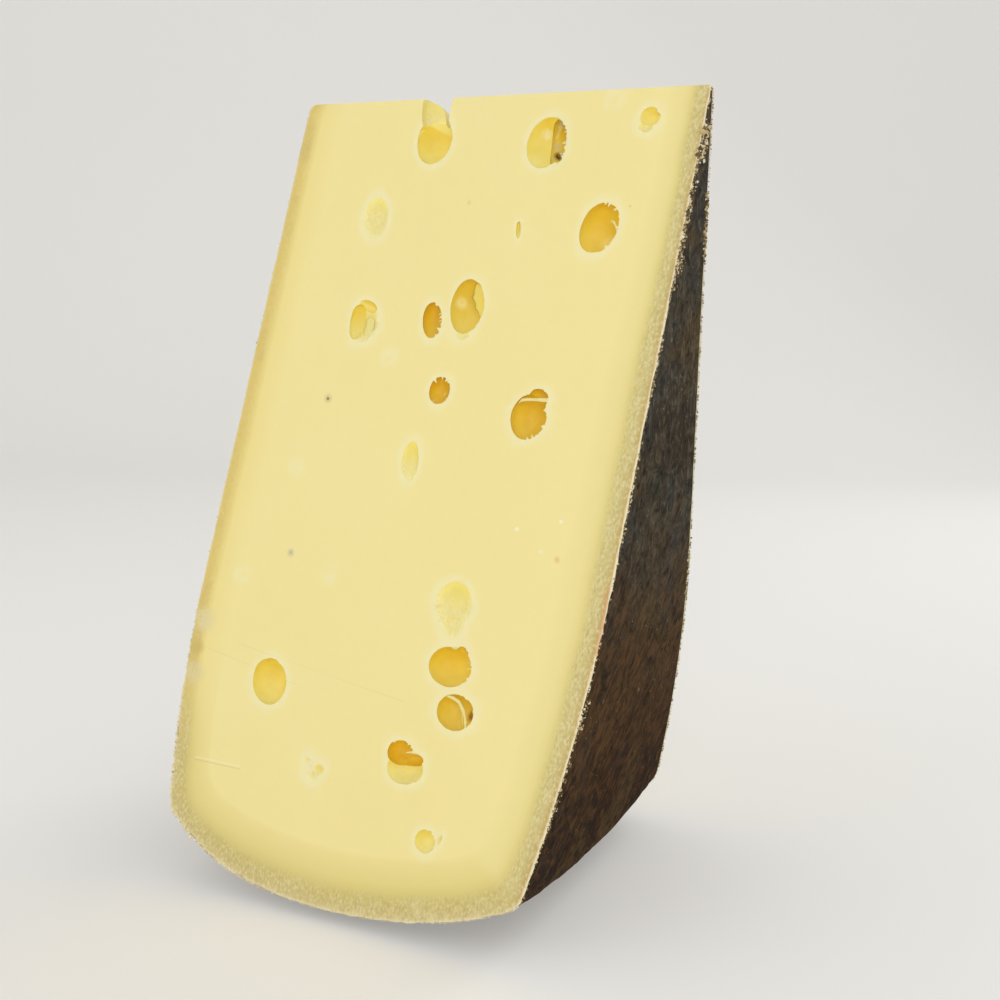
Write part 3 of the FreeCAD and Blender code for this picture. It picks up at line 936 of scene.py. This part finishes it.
def face_crumbs(random, spot):
    """The places, sizes and tints of the crumbs round one spot on the front face."""
    across, down, spread, count = spot
    off = random.normal(0.0, spread / 2, (2, count))
    places = face_point(FRONT, across + off[0], down + off[1], 0.1)
    sizes = 0.36 * random.uniform(0.5, 1.3, count)
    return places, sizes, random.uniform(0.7, 1.0, count)


def make_crumbs(material):
    """Small crumbs of cheese and mould that the knife left along the cut edges."""
    random = np.random.default_rng(5)
    stretch = OUTLINE[NOSE_RIGHT : NOSE_LEFT + 1]
    groups = [belt_crumbs(random, stretch, belt) for belt in CRUMB_BELTS]
    groups.append(heel_crumbs(random, OUTLINE[RIM_RIGHT:RIM_LEFT]))
    groups += [face_crumbs(random, spot) for spot in FACE_CRUMBS]
    places, sizes, tints = (np.concatenate(parts) for parts in zip(*groups))
    count = len(places)
    size = sizes[:, None, None]
    shape = CRUMB_SHAPE * random.uniform(0.55, 1.2, (count, CRUMB_CORNERS, 1))
    shape = shape * size + random.uniform(-0.12, 0.12, (count, CRUMB_CORNERS, 3)) * size
    turn = np.linalg.qr(random.normal(size=(count, 3, 3)))[0]
    turn *= np.sign(np.linalg.det(turn))[:, None, None]
    points = (places[:, None] + shape @ turn).reshape(-1, 3)
    faces = (CRUMB_FACES + CRUMB_CORNERS * np.arange(count)[:, None, None]).reshape(-1, 3)
    crumbs = new_piece("crumbs", points, faces.tolist(), material)
    set_values(crumbs.data, tint=np.repeat(tints, CRUMB_CORNERS))
    return crumbs


# ---------------------------------------------------------------- the rind

RIND_THICK = 1.7
RIND_STEP = 1.5  # mm between the points along the outline
RIND_SPAN = 180.0  # about as wide as the heel, which sets the steps from cut to cut
RIND_FINE, RIND_COARSE, RIND_FINE_REACH = 0.9, 1.9, 12.0
RIND_SHARP = math.radians(50)
INNER_COLUMNS = 6
FEATHER = 0.55  # the rind thins by this much where it meets the cuts


def make_rind(material):
    """The dark skin on both flat sides and the heel: a thin closed shell that ends at the cuts."""
    count = round((NOSE_LEFT - NOSE_RIGHT) * LINE_STEP / RIND_STEP)
    stretch = np.arange(NOSE_RIGHT, NOSE_LEFT + 1)
    shares = np.linspace(0.0, 1.0, count + 1)
    outer = along(OUTLINE[stretch], shares)
    normal = along(outward(OUTLINE)[stretch], shares)
    inner = outer - normal * RIND_THICK
    half_width = outer[:, 1] * np.sin(half_turn(outer[:, 1]))
    edges = []
    for side in (FRONT, BACK):
        reach = shares * count * RIND_STEP
        places = np.column_stack((reach, np.zeros(count + 1), np.full(count + 1, side)))
        recess = 0.85 + 0.4 * noise(places, 3.4, 1) + 0.4 * noise(places, 1.6, 2)
        edges.append(side * (1 - recess / np.maximum(half_width, 2.0)))
    grade = graded(RIND_SPAN, RIND_FINE, RIND_COARSE, RIND_FINE_REACH, RIND_FINE_REACH)
    grade_back = np.linspace(1.0, 0.0, INNER_COLUMNS)
    t_outer = edges[0][:, None] + (edges[1] - edges[0])[:, None] * grade
    t_inner = edges[0][:, None] + (edges[1] - edges[0])[:, None] * grade_back
    top = turned_point(outer[:, :1], outer[:, 1:], t_outer)
    low = turned_point(inner[:, :1], inner[:, 1:], t_inner)
    to_cut = (1 - np.abs(t_outer)) * half_width[:, None]
    push = rind_relief(top) * smooth(to_cut, 0.0, 4.0) - FEATHER * (1 - smooth(to_cut, 0.0, 2.6))
    sideways = np.stack(np.broadcast_arrays(normal[:, :1], 0.0, -normal[:, 1:]), axis=-1)
    top = top + sideways * push[..., None]
    ring = np.concatenate((top, low), axis=1)
    numbers = np.arange(ring.shape[0] * ring.shape[1]).reshape(ring.shape[:2])
    faces = grid_faces(numbers, closed=True)
    faces += [numbers[0].tolist()[::-1], numbers[-1].tolist()]
    rind = new_piece("rind", ring.reshape(-1, 3), faces, material)
    rind.data.shade_smooth()
    rind.data.set_sharp_from_angle(angle=RIND_SHARP)
    return rind


def rind_relief(points):
    """How far the rind stands out: broad dents, small pits, and wrinkles that run slanting up it."""
    x, y, z = np.moveaxis(points, -1, 0)
    slanted = np.stack((x, y * 0.8 - z * 0.6, (y * 0.6 + z * 0.8) * 0.25), axis=-1)
    dents = 0.34 * noise(points, 26.0, 1) + 0.2 * noise(points, 8.0, 2)
    wrinkles = 0.2 * noise(slanted, 2.6, 3) * smooth(noise(points, 38.0, 7), -0.35, 0.4)
    pits = np.minimum(0.0, 0.25 - np.abs(noise(points, 4.6, 5))) * 0.35
    return dents + wrinkles + pits + 0.12 * noise(points, 2.3, 4)


# ---------------------------------------------------------------- materials


def colour(red, green, blue):
    """A screen colour from 0 to 255 as the linear one that shaders take."""
    parts = (part / 255 for part in (red, green, blue))
    linear = [part / 12.92 if part <= 0.04045 else ((part + 0.055) / 1.055) ** 2.4 for part in parts]
    return (*linear, 1.0)


class Shader:
    """A material's node tree, with short calls for the nodes used here."""

    def __init__(self, name):
        self.material = bpy.data.materials.new(name)
        self.material.use_nodes = True
        self.tree = self.material.node_tree
        self.surface = self.tree.nodes["Principled BSDF"]

    def feed(self, socket, value):
        """Links a node's output to a socket, or sets the socket to a plain value."""
        if isinstance(value, bpy.types.NodeSocket):
            self.tree.links.new(value, socket)
        else:
            socket.default_value = value

    def node(self, kind, inputs=None, **settings):
        """A new node with its settings, fed by name."""
        made = self.tree.nodes.new(kind)
        for name, value in settings.items():
            setattr(made, name, value)
        for name, value in (inputs or {}).items():
            self.feed(made.inputs[name], value)
        return made

    def value(self, name):
        """A number stored for each vertex."""
        return self.node("ShaderNodeAttribute", attribute_name=name).outputs["Fac"]

    def place(self):
        """Where the point is in the row's frame, in metres."""
        return self.node("ShaderNodeTexCoord").outputs["Object"]

    def noise(self, grain, stretch=(1, 1, 1), turn=(0, 0, 0), detail=2.0, rough=0.5, bend=0.0):
        """Random values about 0.5, in lumps grain millimetres across, stretched along an axis."""
        mapping = self.node("ShaderNodeMapping", {"Vector": self.place()}, vector_type="TEXTURE")
        mapping.inputs["Rotation"].default_value = [math.radians(angle) for angle in turn]
        mapping.inputs["Scale"].default_value = stretch
        made = self.node("ShaderNodeTexNoise", {"Vector": mapping.outputs["Vector"]})
        made.inputs["Scale"].default_value = 1000 / grain / 2
        made.inputs["Detail"].default_value = detail
        made.inputs["Roughness"].default_value = rough
        made.inputs["Distortion"].default_value = bend
        return made.outputs["Fac"]

    def math(self, operation, first, second=0.0):
        """A sum, difference or other operation on two numbers."""
        made = self.node("ShaderNodeMath", operation=operation)
        self.feed(made.inputs[0], first)
        self.feed(made.inputs[1], second)
        return made.outputs[0]

    def times(self, first, second):
        """The product of two numbers."""
        return self.math("MULTIPLY", first, second)

    def wander(self, amount, grain, **settings):
        """Random values about 0, within half the amount either way."""
        return self.times(self.math("SUBTRACT", self.noise(grain, **settings), 0.5), amount)

    def vector(self, operation, first, second=(0.0, 0.0, 0.0), output="Vector"):
        """An operation on two vectors."""
        made = self.node("ShaderNodeVectorMath", operation=operation)
        self.feed(made.inputs[0], first)
        self.feed(made.inputs[1], second)
        return made.outputs[output]

    def distance(self, across, down, depth=0.0):
        """How far the point is from a place on or under the front face, in millimetres."""
        spot = moved_only(face_point(FRONT, across, down, depth))
        away = self.vector("DISTANCE", self.place(), tuple(spot), "Value")
        return self.times(away, 1000.0)

    def line_distance(self, start, end):
        """How far the point is from a line between two places on the front face, in millimetres."""
        first, last = (moved_only(face_point(FRONT, *place)) for place in (start, end))
        run = last - first
        away = self.vector("SUBTRACT", self.place(), tuple(first))
        share = self.vector("DOT_PRODUCT", away, tuple(run / (run @ run)), "Value")
        share = self.math("MINIMUM", self.math("MAXIMUM", share, 0.0), 1.0)
        scaled = self.node("ShaderNodeVectorMath", {"Scale": share}, operation="SCALE")
        scaled.inputs[0].default_value = tuple(run)
        off = self.vector("SUBTRACT", away, scaled.outputs["Vector"])
        return self.times(self.vector("LENGTH", off, output="Value"), 1000.0)

    def dots(self, spacing, radius, share):
        """Round dots, radius mm across, in this share of cells that are spacing mm apart."""
        made = self.node("ShaderNodeTexVoronoi", {"Vector": self.place(), "Scale": 1000 / spacing})
        near = self.step(made.outputs["Distance"], radius / spacing, 0.4 * radius / spacing)
        picked = self.node("ShaderNodeSeparateColor", {"Color": made.outputs["Color"]}).outputs[0]
        return self.times(near, self.math("LESS_THAN", picked, share))

    def step(self, value, low, high):
        """0 where the value is at low and 1 where it is at high, smooth between."""
        made = self.node("ShaderNodeMapRange", {"Value": value}, interpolation_type="SMOOTHSTEP")
        made.inputs["From Min"].default_value = low
        made.inputs["From Max"].default_value = high
        return made.outputs["Result"]

    def ramp(self, value, stops, width):
        """A colour that follows a value from 0 to width. stops are (value, colour)."""
        share = self.math("DIVIDE", value, width)
        made = self.node("ShaderNodeValToRGB", {"Fac": share})
        elements = made.color_ramp.elements
        elements[0].position, elements[0].color = stops[0][0] / width, stops[0][1]
        elements[1].position, elements[1].color = stops[-1][0] / width, stops[-1][1]
        for place, shade in stops[1:-1]:
            elements.new(place / width).color = shade
        return made.outputs["Color"]

    def mix(self, share, first, second, blend="MIX"):
        """The first colour at a share of 0 and the second at 1."""
        made = self.node("ShaderNodeMix", data_type="RGBA", blend_type=blend)
        self.feed(made.inputs[0], share)
        self.feed(made.inputs[6], first)
        self.feed(made.inputs[7], second)
        return made.outputs[2]

    def tint(self, base, share, strength, shade, blend="MIX"):
        """The base colour, turned to another shade by a share at some strength."""
        return self.mix(self.times(share, strength), base, shade, blend)

    def bump(self, height, distance, strength=1.0, under=None):
        """Small relief, distance millimetres high."""
        inputs = {"Height": height, "Distance": distance / 1000, "Strength": strength}
        made = self.node("ShaderNodeBump", inputs)
        if under is not None:
            self.feed(made.inputs["Normal"], under)
        return made.outputs["Normal"]

    def finish(self, base, normal, **settings):
        """Feeds the surface its colour and relief, and sets its other values by name."""
        self.feed(self.surface.inputs["Base Color"], base)
        self.feed(self.surface.inputs["Normal"], normal)
        for name, value in settings.items():
            self.surface.inputs[name.replace("_", " ")].default_value = value
        return self.material


PASTE = colour(241, 227, 158)
PALE = colour(241, 232, 180)
WALL_PAINTED_LIGHT = (1.1, 1.14, 1.15, 1.0)  # painted light: brightens the steep walls of the eyes, which lie in shade
GOLD_STOPS = (  # how deep an eye's gold is, from 0 to 1
    (0.0, colour(237, 224, 152)),
    (0.2, colour(237, 221, 130)),
    (0.4, colour(235, 212, 104)),
    (0.6, colour(233, 204, 78)),
    (0.8, colour(231, 195, 56)),
    (1.0, colour(228, 186, 40)),
)
BAND_WIDTH = 24.0  # mm inside the rind where the three bands end
BAND_STOPS = (  # mm inside the rind: the dry band along the right side
    (0.0, colour(247, 238, 206)),
    (0.8, colour(238, 222, 180)),
    (1.4, colour(198, 168, 104)),
    (2.3, colour(200, 178, 114)),
    (3.6, colour(206, 190, 128)),
    (5.6, colour(210, 196, 133)),
    (7.8, colour(213, 198, 129)),
    (9.6, colour(223, 208, 134)),
    (11.4, colour(230, 215, 143)),
    (14.5, colour(235, 221, 151)),
    (BAND_WIDTH, PASTE),
)
HEEL_STOPS = (  # the dry band along the heel
    (0.0, colour(244, 234, 196)),
    (0.6, colour(224, 208, 156)),
    (1.6, colour(210, 192, 134)),
    (4.3, colour(205, 188, 122)),
    (8.0, colour(209, 193, 121)),
    (11.0, colour(221, 205, 130)),
    (14.0, colour(228, 213, 138)),
    (21.6, colour(237, 221, 149)),
    (BAND_WIDTH, PASTE),
)
LEFT_STOPS = (  # the moist band along the left side
    (0.0, colour(240, 226, 178)),
    (0.7, colour(226, 204, 130)),
    (1.8, colour(220, 195, 112)),
    (4.6, colour(223, 200, 117)),
    (7.4, colour(230, 210, 130)),
    (10.5, colour(238, 221, 145)),
    (BAND_WIDTH, PASTE),
)

# Stains on the front face and in its eyes, and painted shade deep in two eyes: mm across, down and deep,
# radius, colour and strength.
STAINS_AND_PAINTED_SHADE = (
    # painted shade: dark brown at the bottom of the double eye's deep narrow pocket
    (28.8, 36.8, 8.4, 3.0, colour(92, 64, 34), 1.0),
    (27.4, 32.6, 7.8, 3.0, colour(226, 208, 146), 0.9),
    (23.0, 29.2, 4.0, 3.6, colour(240, 226, 160), 0.8),
    (61.4, 73.4, 9.8, 5.5, colour(242, 222, 140), 0.8),
    (-0.8, 107.9, 5.6, 4.0, colour(248, 234, 156), 1.0),
    # painted shade: golden brown in the deep undercut of the middle row's eye
    (49.0, 282.6, 7.6, 3.6, colour(160, 106, 28), 1.0),
    (42.6, 286.4, 8.4, 1.3, colour(188, 140, 46), 0.8),
    (-54.1, 161.3, 0.0, 3.0, colour(206, 194, 138), 0.7),
    (-54.1, 161.5, 0.0, 1.1, colour(146, 90, 42), 0.95),
    (-54.6, 234.2, 0.0, 2.8, colour(206, 200, 154), 0.75),
    (-54.4, 234.0, 0.0, 0.9, colour(150, 140, 104), 0.7),
    (-93.0, 274.8, 0.0, 8.5, colour(226, 212, 160), 0.85),
    (-93.5, 288.0, 0.0, 5.0, colour(206, 180, 104), 0.8),
    (-92.0, 300.0, 0.0, 8.0, colour(222, 208, 156), 0.8),
    (74.1, 209.4, 0.0, 2.0, colour(226, 190, 104), 0.6),
    (70.4, 58.5, 0.0, 0.7, colour(166, 128, 60), 0.8),
    (53.3, 200.6, 0.0, 1.3, colour(248, 242, 214), 0.9),
    (72.0, 193.7, 0.0, 1.2, colour(248, 242, 214), 0.8),
    (66.3, 207.7, 0.0, 1.4, colour(246, 240, 206), 0.5),
    (-5.2, 64.0, 0.0, 1.6, colour(230, 198, 112), 0.5),
)
# Straight marks on the front face: both ends in mm, half the width, colour and strength.
LINES = (
    ((-80.1, 337.0), (-54.6, 334.2), 0.45, colour(248, 240, 200), 0.4),
    ((-80.1, 338.2), (-54.6, 335.4), 0.4, colour(210, 190, 126), 0.4),
    ((-88.0, 287.0), (-36.0, 291.0), 0.35, colour(226, 208, 150), 0.35),
    ((-70.0, 281.0), (20.0, 284.0), 0.3, colour(226, 208, 150), 0.35),
    ((98.9, 216.0), (100.0, 243.0), 1.0, colour(216, 150, 104), 0.6),
)
DARK_PATCH = (98.9, 166.9, 27.0)  # a vague darker patch on the rind: mm across, down and deep


def band_colour(shader, rind, into_band):
    """The colour of the cut faces by how far inside the rind they lie."""
    patches = shader.times(shader.step(shader.noise(16.0), 0.5, 0.62), shader.step(rind, 8.0, 5.0))
    left, heel, right = (
        shader.ramp(into_band, stops, BAND_WIDTH) for stops in (LEFT_STOPS, HEEL_STOPS, BAND_STOPS)
    )
    moist = shader.tint(left, patches, 0.7, colour(212, 188, 112))
    dry = shader.mix(shader.value("heel"), right, heel)
    base = shader.mix(shader.value("dry"), moist, dry)
    cloud = shader.step(shader.noise(34.0, detail=3.0), 0.3, 0.75)
    return shader.tint(base, cloud, 0.4, colour(252, 250, 240), "MULTIPLY")


def grained(shader, base, in_band, grains):
    """The base colour with the dry band's paler and darker grains and its tufts."""
    speckle = shader.times(in_band, shader.step(grains, 0.48, 0.72))
    base = shader.tint(base, speckle, 0.5, colour(231, 221, 176))
    darker = shader.times(in_band, shader.step(grains, 0.5, 0.26))
    base = shader.tint(base, darker, 0.5, colour(182, 164, 100))
    tufts = shader.step(shader.noise(2.6), 0.55, 0.72)
    return shader.tint(base, shader.times(tufts, in_band), 0.35, colour(228, 216, 160))


def marked(shader, base, rind):
    """The base colour with pale halos round the eyes, small dots and straight marks."""
    patchy = shader.math("ADD", shader.value("eye_mm"), shader.wander(5.0, 5.0))
    halo = shader.times(shader.step(patchy, 4.8, 0.6), shader.step(rind, 4.0, 12.0))
    base = shader.tint(base, halo, 0.7, PALE)
    base = shader.mix(shader.dots(16.0, 0.5, 0.3), base, colour(248, 243, 214))
    base = shader.tint(base, shader.dots(31.0, 0.9, 0.3), 0.35, colour(222, 178, 84))
    for start, end, half_width, shade, strength in LINES:
        line = shader.step(shader.line_distance(start, end), half_width, half_width * 0.3)
        base = shader.tint(base, line, strength, shade)
    return base


def eye_colour(shader, grains):
    """The gold inside the eyes, a little uneven, with painted light up the walls and grainy where pale.
    """
    gold = shader.value("gold")
    uneven = shader.math("ADD", gold, shader.wander(0.35, 3.4, detail=3.0))
    inner = shader.ramp(uneven, GOLD_STOPS, 1.0)
    # painted light: the steep walls of the eyes are brightened
    inner = shader.mix(shader.value("wall"), inner, WALL_PAINTED_LIGHT, "MULTIPLY")
    grainy = shader.times(shader.step(gold, 0.3, 0.05), shader.step(grains, 0.4, 0.7))
    return shader.tint(inner, grainy, 0.3, colour(224, 200, 112))


def stained_and_shaded(shader, base, grains):
    """The base colour with the stains and the painted shade deep in two eyes, mottled by the grains."""
    mottle = shader.step(grains, 0.1, 0.55)
    for across, down, depth, radius, shade, strength in STAINS_AND_PAINTED_SHADE:
        near = shader.step(shader.distance(across, down, depth), radius, radius * 0.25)
        base = shader.tint(base, shader.times(near, mottle), strength, shade)
    return base


def paste_material():
    """The cut cheese: butter yellow, golden in the eyes, dry and grainy by the rind."""
    shader = Shader("paste")
    rind = shader.value("rind_mm")
    uneven = shader.times(shader.wander(2.2, 12.0), shader.step(rind, 0.5, 5.0))
    into_band = shader.math("ADD", rind, uneven)
    dry = shader.math("MAXIMUM", shader.value("dry"), 0.25)
    in_band = shader.times(shader.step(into_band, 11.0, 6.0), dry)
    grains = shader.noise(0.45, stretch=(1, 1, 2.0), turn=(0, 6, 0), detail=1.0)

    base = band_colour(shader, rind, into_band)
    base = grained(shader, base, in_band, grains)
    base = marked(shader, base, rind)
    in_eye = shader.step(shader.value("depth_mm"), 0.05, 0.45)
    base = shader.mix(in_eye, base, eye_colour(shader, grains))
    base = stained_and_shaded(shader, base, grains)

    normal = shader.bump(shader.noise(0.7, rough=0.6), 0.025)
    normal = shader.bump(grains, 0.2, in_band, normal)
    shader.surface.inputs["Subsurface Radius"].default_value = (1.0, 0.6, 0.25)
    shader.surface.inputs["Subsurface Scale"].default_value = 0.004
    return shader.finish(
        base, normal, Roughness=0.55, Specular_IOR_Level=0.3, Subsurface_Weight=0.15
    )


def rind_material():
    """The cave-aged rind: charcoal with blue-grey and olive tints, browner and redder low down, and
    painted shade along its very bottom.
    """
    shader = Shader("rind")
    height = shader.node("ShaderNodeSeparateXYZ", {"Vector": shader.place()}).outputs["Z"]
    level = shader.math("ADD", height, shader.wander(0.12, 26.0, detail=4.0, rough=0.6))
    low = shader.step(level, 0.19, 0.11)
    base = shader.mix(low, colour(72, 65, 52), colour(80, 59, 36))
    # painted shade: darker still along the very bottom of the rind, near the floor
    base = shader.mix(shader.step(level, 0.1, 0.03), base, colour(50, 32, 19))
    drift = shader.step(shader.noise(40.0, detail=1.0), 0.42, 0.58)
    base = shader.tint(base, drift, 0.45, colour(46, 38, 29))
    cool = shader.step(shader.noise(17.0, detail=3.0, bend=0.6), 0.49, 0.6)
    less_low = shader.math("SUBTRACT", 0.8, shader.times(low, 0.6))
    base = shader.mix(shader.times(cool, less_low), base, colour(66, 64, 59))
    olive = shader.step(shader.noise(24.0, detail=3.0, bend=0.4), 0.52, 0.62)
    base = shader.tint(base, olive, 0.65, colour(88, 70, 42))
    patch = shader.step(shader.distance(*DARK_PATCH), 10.0, 4.0)
    base = shader.tint(base, patch, 0.5, colour(54, 60, 50))

    light = shader.mix(low, colour(112, 104, 86), colour(112, 78, 44))
    mottle = shader.noise(3.4, detail=6.0, rough=0.78, bend=0.8)
    base = shader.tint(base, shader.step(mottle, 0.5, 0.62), 0.55, light)
    base = shader.tint(base, shader.step(mottle, 0.49, 0.39), 0.7, colour(24, 18, 13))
    fibres = shader.noise(0.9, stretch=(1, 1, 7.0), turn=(-40, 0, 0), detail=4.0, rough=0.7)
    streaks = shader.times(shader.step(fibres, 0.52, 0.64), shader.math("ADD", low, 0.2))
    base = shader.tint(base, streaks, 0.45, light)
    more_low = shader.math("ADD", shader.times(low, 0.3), 0.28)
    furrows = shader.times(shader.step(fibres, 0.47, 0.37), more_low)
    base = shader.mix(furrows, base, colour(28, 21, 15))
    threads = shader.noise(0.7, stretch=(1, 1, 9.0), turn=(12, 0, 0), detail=3.0, rough=0.6)
    threads = shader.times(shader.step(threads, 0.58, 0.7), shader.step(level, 0.12, 0.22))
    base = shader.tint(base, threads, 0.5, colour(134, 126, 106))
    base = shader.tint(base, shader.dots(5.0, 0.6, 0.4), 0.6, colour(160, 148, 120))
    base = shader.tint(base, shader.dots(17.0, 1.3, 0.35), 0.5, colour(150, 146, 130))

    normal = shader.bump(fibres, 0.3)
    normal = shader.bump(mottle, 0.9, 1.0, normal)
    return shader.finish(base, normal, Roughness=0.85, Specular_IOR_Level=0.06)


CRUMB_STOPS = (
    (0.0, colour(84, 66, 40)),
    (0.2, colour(140, 114, 70)),
    (0.45, colour(200, 178, 122)),
    (0.8, colour(236, 224, 182)),
    (1.0, colour(238, 234, 214)),
)


def crumb_material():
    """Dry crumbs, from ochre to nearly white."""
    shader = Shader("crumbs")
    base = shader.ramp(shader.value("tint"), CRUMB_STOPS, 1.0)
    return shader.finish(base, shader.bump(shader.noise(0.4), 0.05), Roughness=0.8)


def stage_material(name, shade):
    """A pale matt surface that the camera sees a little lighter than it lights the cheese."""
    shader = Shader(name)
    path = shader.node("ShaderNodeLightPath")
    seen = shader.math("ADD", path.outputs["Is Camera Ray"], path.outputs["Is Glossy Ray"])
    seen = shader.math("ADD", seen, path.outputs["Is Transmission Ray"])
    glow = shader.times(shader.math("MINIMUM", seen, 1.0), 0.3)
    shader.feed(shader.surface.inputs["Emission Color"], shade)
    shader.feed(shader.surface.inputs["Emission Strength"], glow)
    return shader.finish(shade, shader.bump(shader.noise(2.0), 0.02), Roughness=0.9)


# ---------------------------------------------------------------- floor, light and camera (metres)

CAMERA_AZIMUTH = 26.57
CAMERA_ELEVATION = 7.82
CAMERA_ROLL = 1.06
CAMERA_DISTANCE = 0.5676
AIM_OFFSET = Vector((0.0143, 0.0064, -0.0040))  # from the middle of the cheese's box
CAMERA_LENS, CAMERA_SENSOR = 43.2, 36.0  # mm
FLOOR_WIDTH, FLOOR_FRONT, FLOOR_BACK = 6.0, -3.0, 2.4
FLOOR_HEIGHT, FLOOR_TURN = 3.0, 0.8  # how high the back rises, and the radius of its curve
MIDDLE = (BOX_LOW + BOX_HIGH) / 2


def make_stage():
    """A plain pale floor that rises behind the cheese in a smooth curve."""
    steps = [(FLOOR_FRONT, 0.0), (FLOOR_BACK - FLOOR_TURN, 0.0)]
    for angle in np.linspace(0.0, 1.0, 17)[1:] * math.pi / 2:
        y = FLOOR_BACK - FLOOR_TURN + FLOOR_TURN * math.sin(angle)
        steps.append((y, FLOOR_TURN - FLOOR_TURN * math.cos(angle)))
    steps.append((FLOOR_BACK, FLOOR_HEIGHT))
    points = [(x, y, z) for y, z in steps for x in (-FLOOR_WIDTH / 2, FLOOR_WIDTH / 2)]
    numbers = np.arange(len(points)).reshape(-1, 2)
    mesh = bpy.data.meshes.new("floor")
    mesh.from_pydata(points, [], grid_faces(numbers))
    mesh.shade_smooth()
    mesh.materials.append(stage_material("floor", colour(226, 224, 219)))
    floor = add_object("floor", mesh)
    floor.rotation_euler.z = math.radians(CAMERA_AZIMUTH)
    floor.location.z = BOX_LOW.z


def area_light(name, place, size, power, shade=(1.0, 1.0, 1.0)):
    """A soft square lamp that points at the middle of the cheese."""
    lamp = bpy.data.lights.new(name, "AREA")
    lamp.size = size
    lamp.energy = power
    lamp.color = shade
    light = add_object(name, lamp)
    light.location = place
    light.rotation_euler = (MIDDLE - light.location).to_track_quat("-Z", "Y").to_euler()


def make_light():
    """A large lamp on the right, a weaker one on the left, one behind, and an even pale sky."""
    area_light("key", (0.95, -1.75, 0.5), 1.1, 14.2, (1.0, 0.99, 0.97))
    area_light("fill", (-1.1, -1.5, 0.7), 1.4, 6.8)
    area_light("behind", (0.7, 1.4, 1.3), 1.2, 8.0)
    world = bpy.data.worlds.new("world")
    world.use_nodes = True
    background = world.node_tree.nodes["Background"]
    background.inputs["Color"].default_value = colour(240, 240, 242)
    background.inputs["Strength"].default_value = 0.62
    bpy.context.scene.world = world


def make_camera():
    """The camera where the photographer stood: close, to the right of the face and a little above it."""
    azimuth, elevation = math.radians(CAMERA_AZIMUTH), math.radians(CAMERA_ELEVATION)
    level = math.cos(elevation)
    back = Vector((math.sin(azimuth) * level, -math.cos(azimuth) * level, math.sin(elevation)))
    data = bpy.data.cameras.new("camera")
    data.lens = CAMERA_LENS
    data.sensor_width = CAMERA_SENSOR
    camera = add_object("camera", data)
    turn = (-back).to_track_quat("-Z", "Y").to_matrix().to_4x4()
    roll = Matrix.Rotation(math.radians(CAMERA_ROLL), 4, "Z")
    stand = MIDDLE + AIM_OFFSET + back * CAMERA_DISTANCE
    camera.matrix_world = Matrix.Translation(stand) @ turn @ roll
    bpy.context.scene.camera = camera


# ---------------------------------------------------------------- the scene

PASTE_MATERIAL = paste_material()
make_body(PASTE_MATERIAL)
make_strips(PASTE_MATERIAL)
make_rind(rind_material())
make_crumbs(crumb_material())
make_stage()
make_light()
make_camera()
bpy.context.scene.view_settings.view_transform = "Standard"
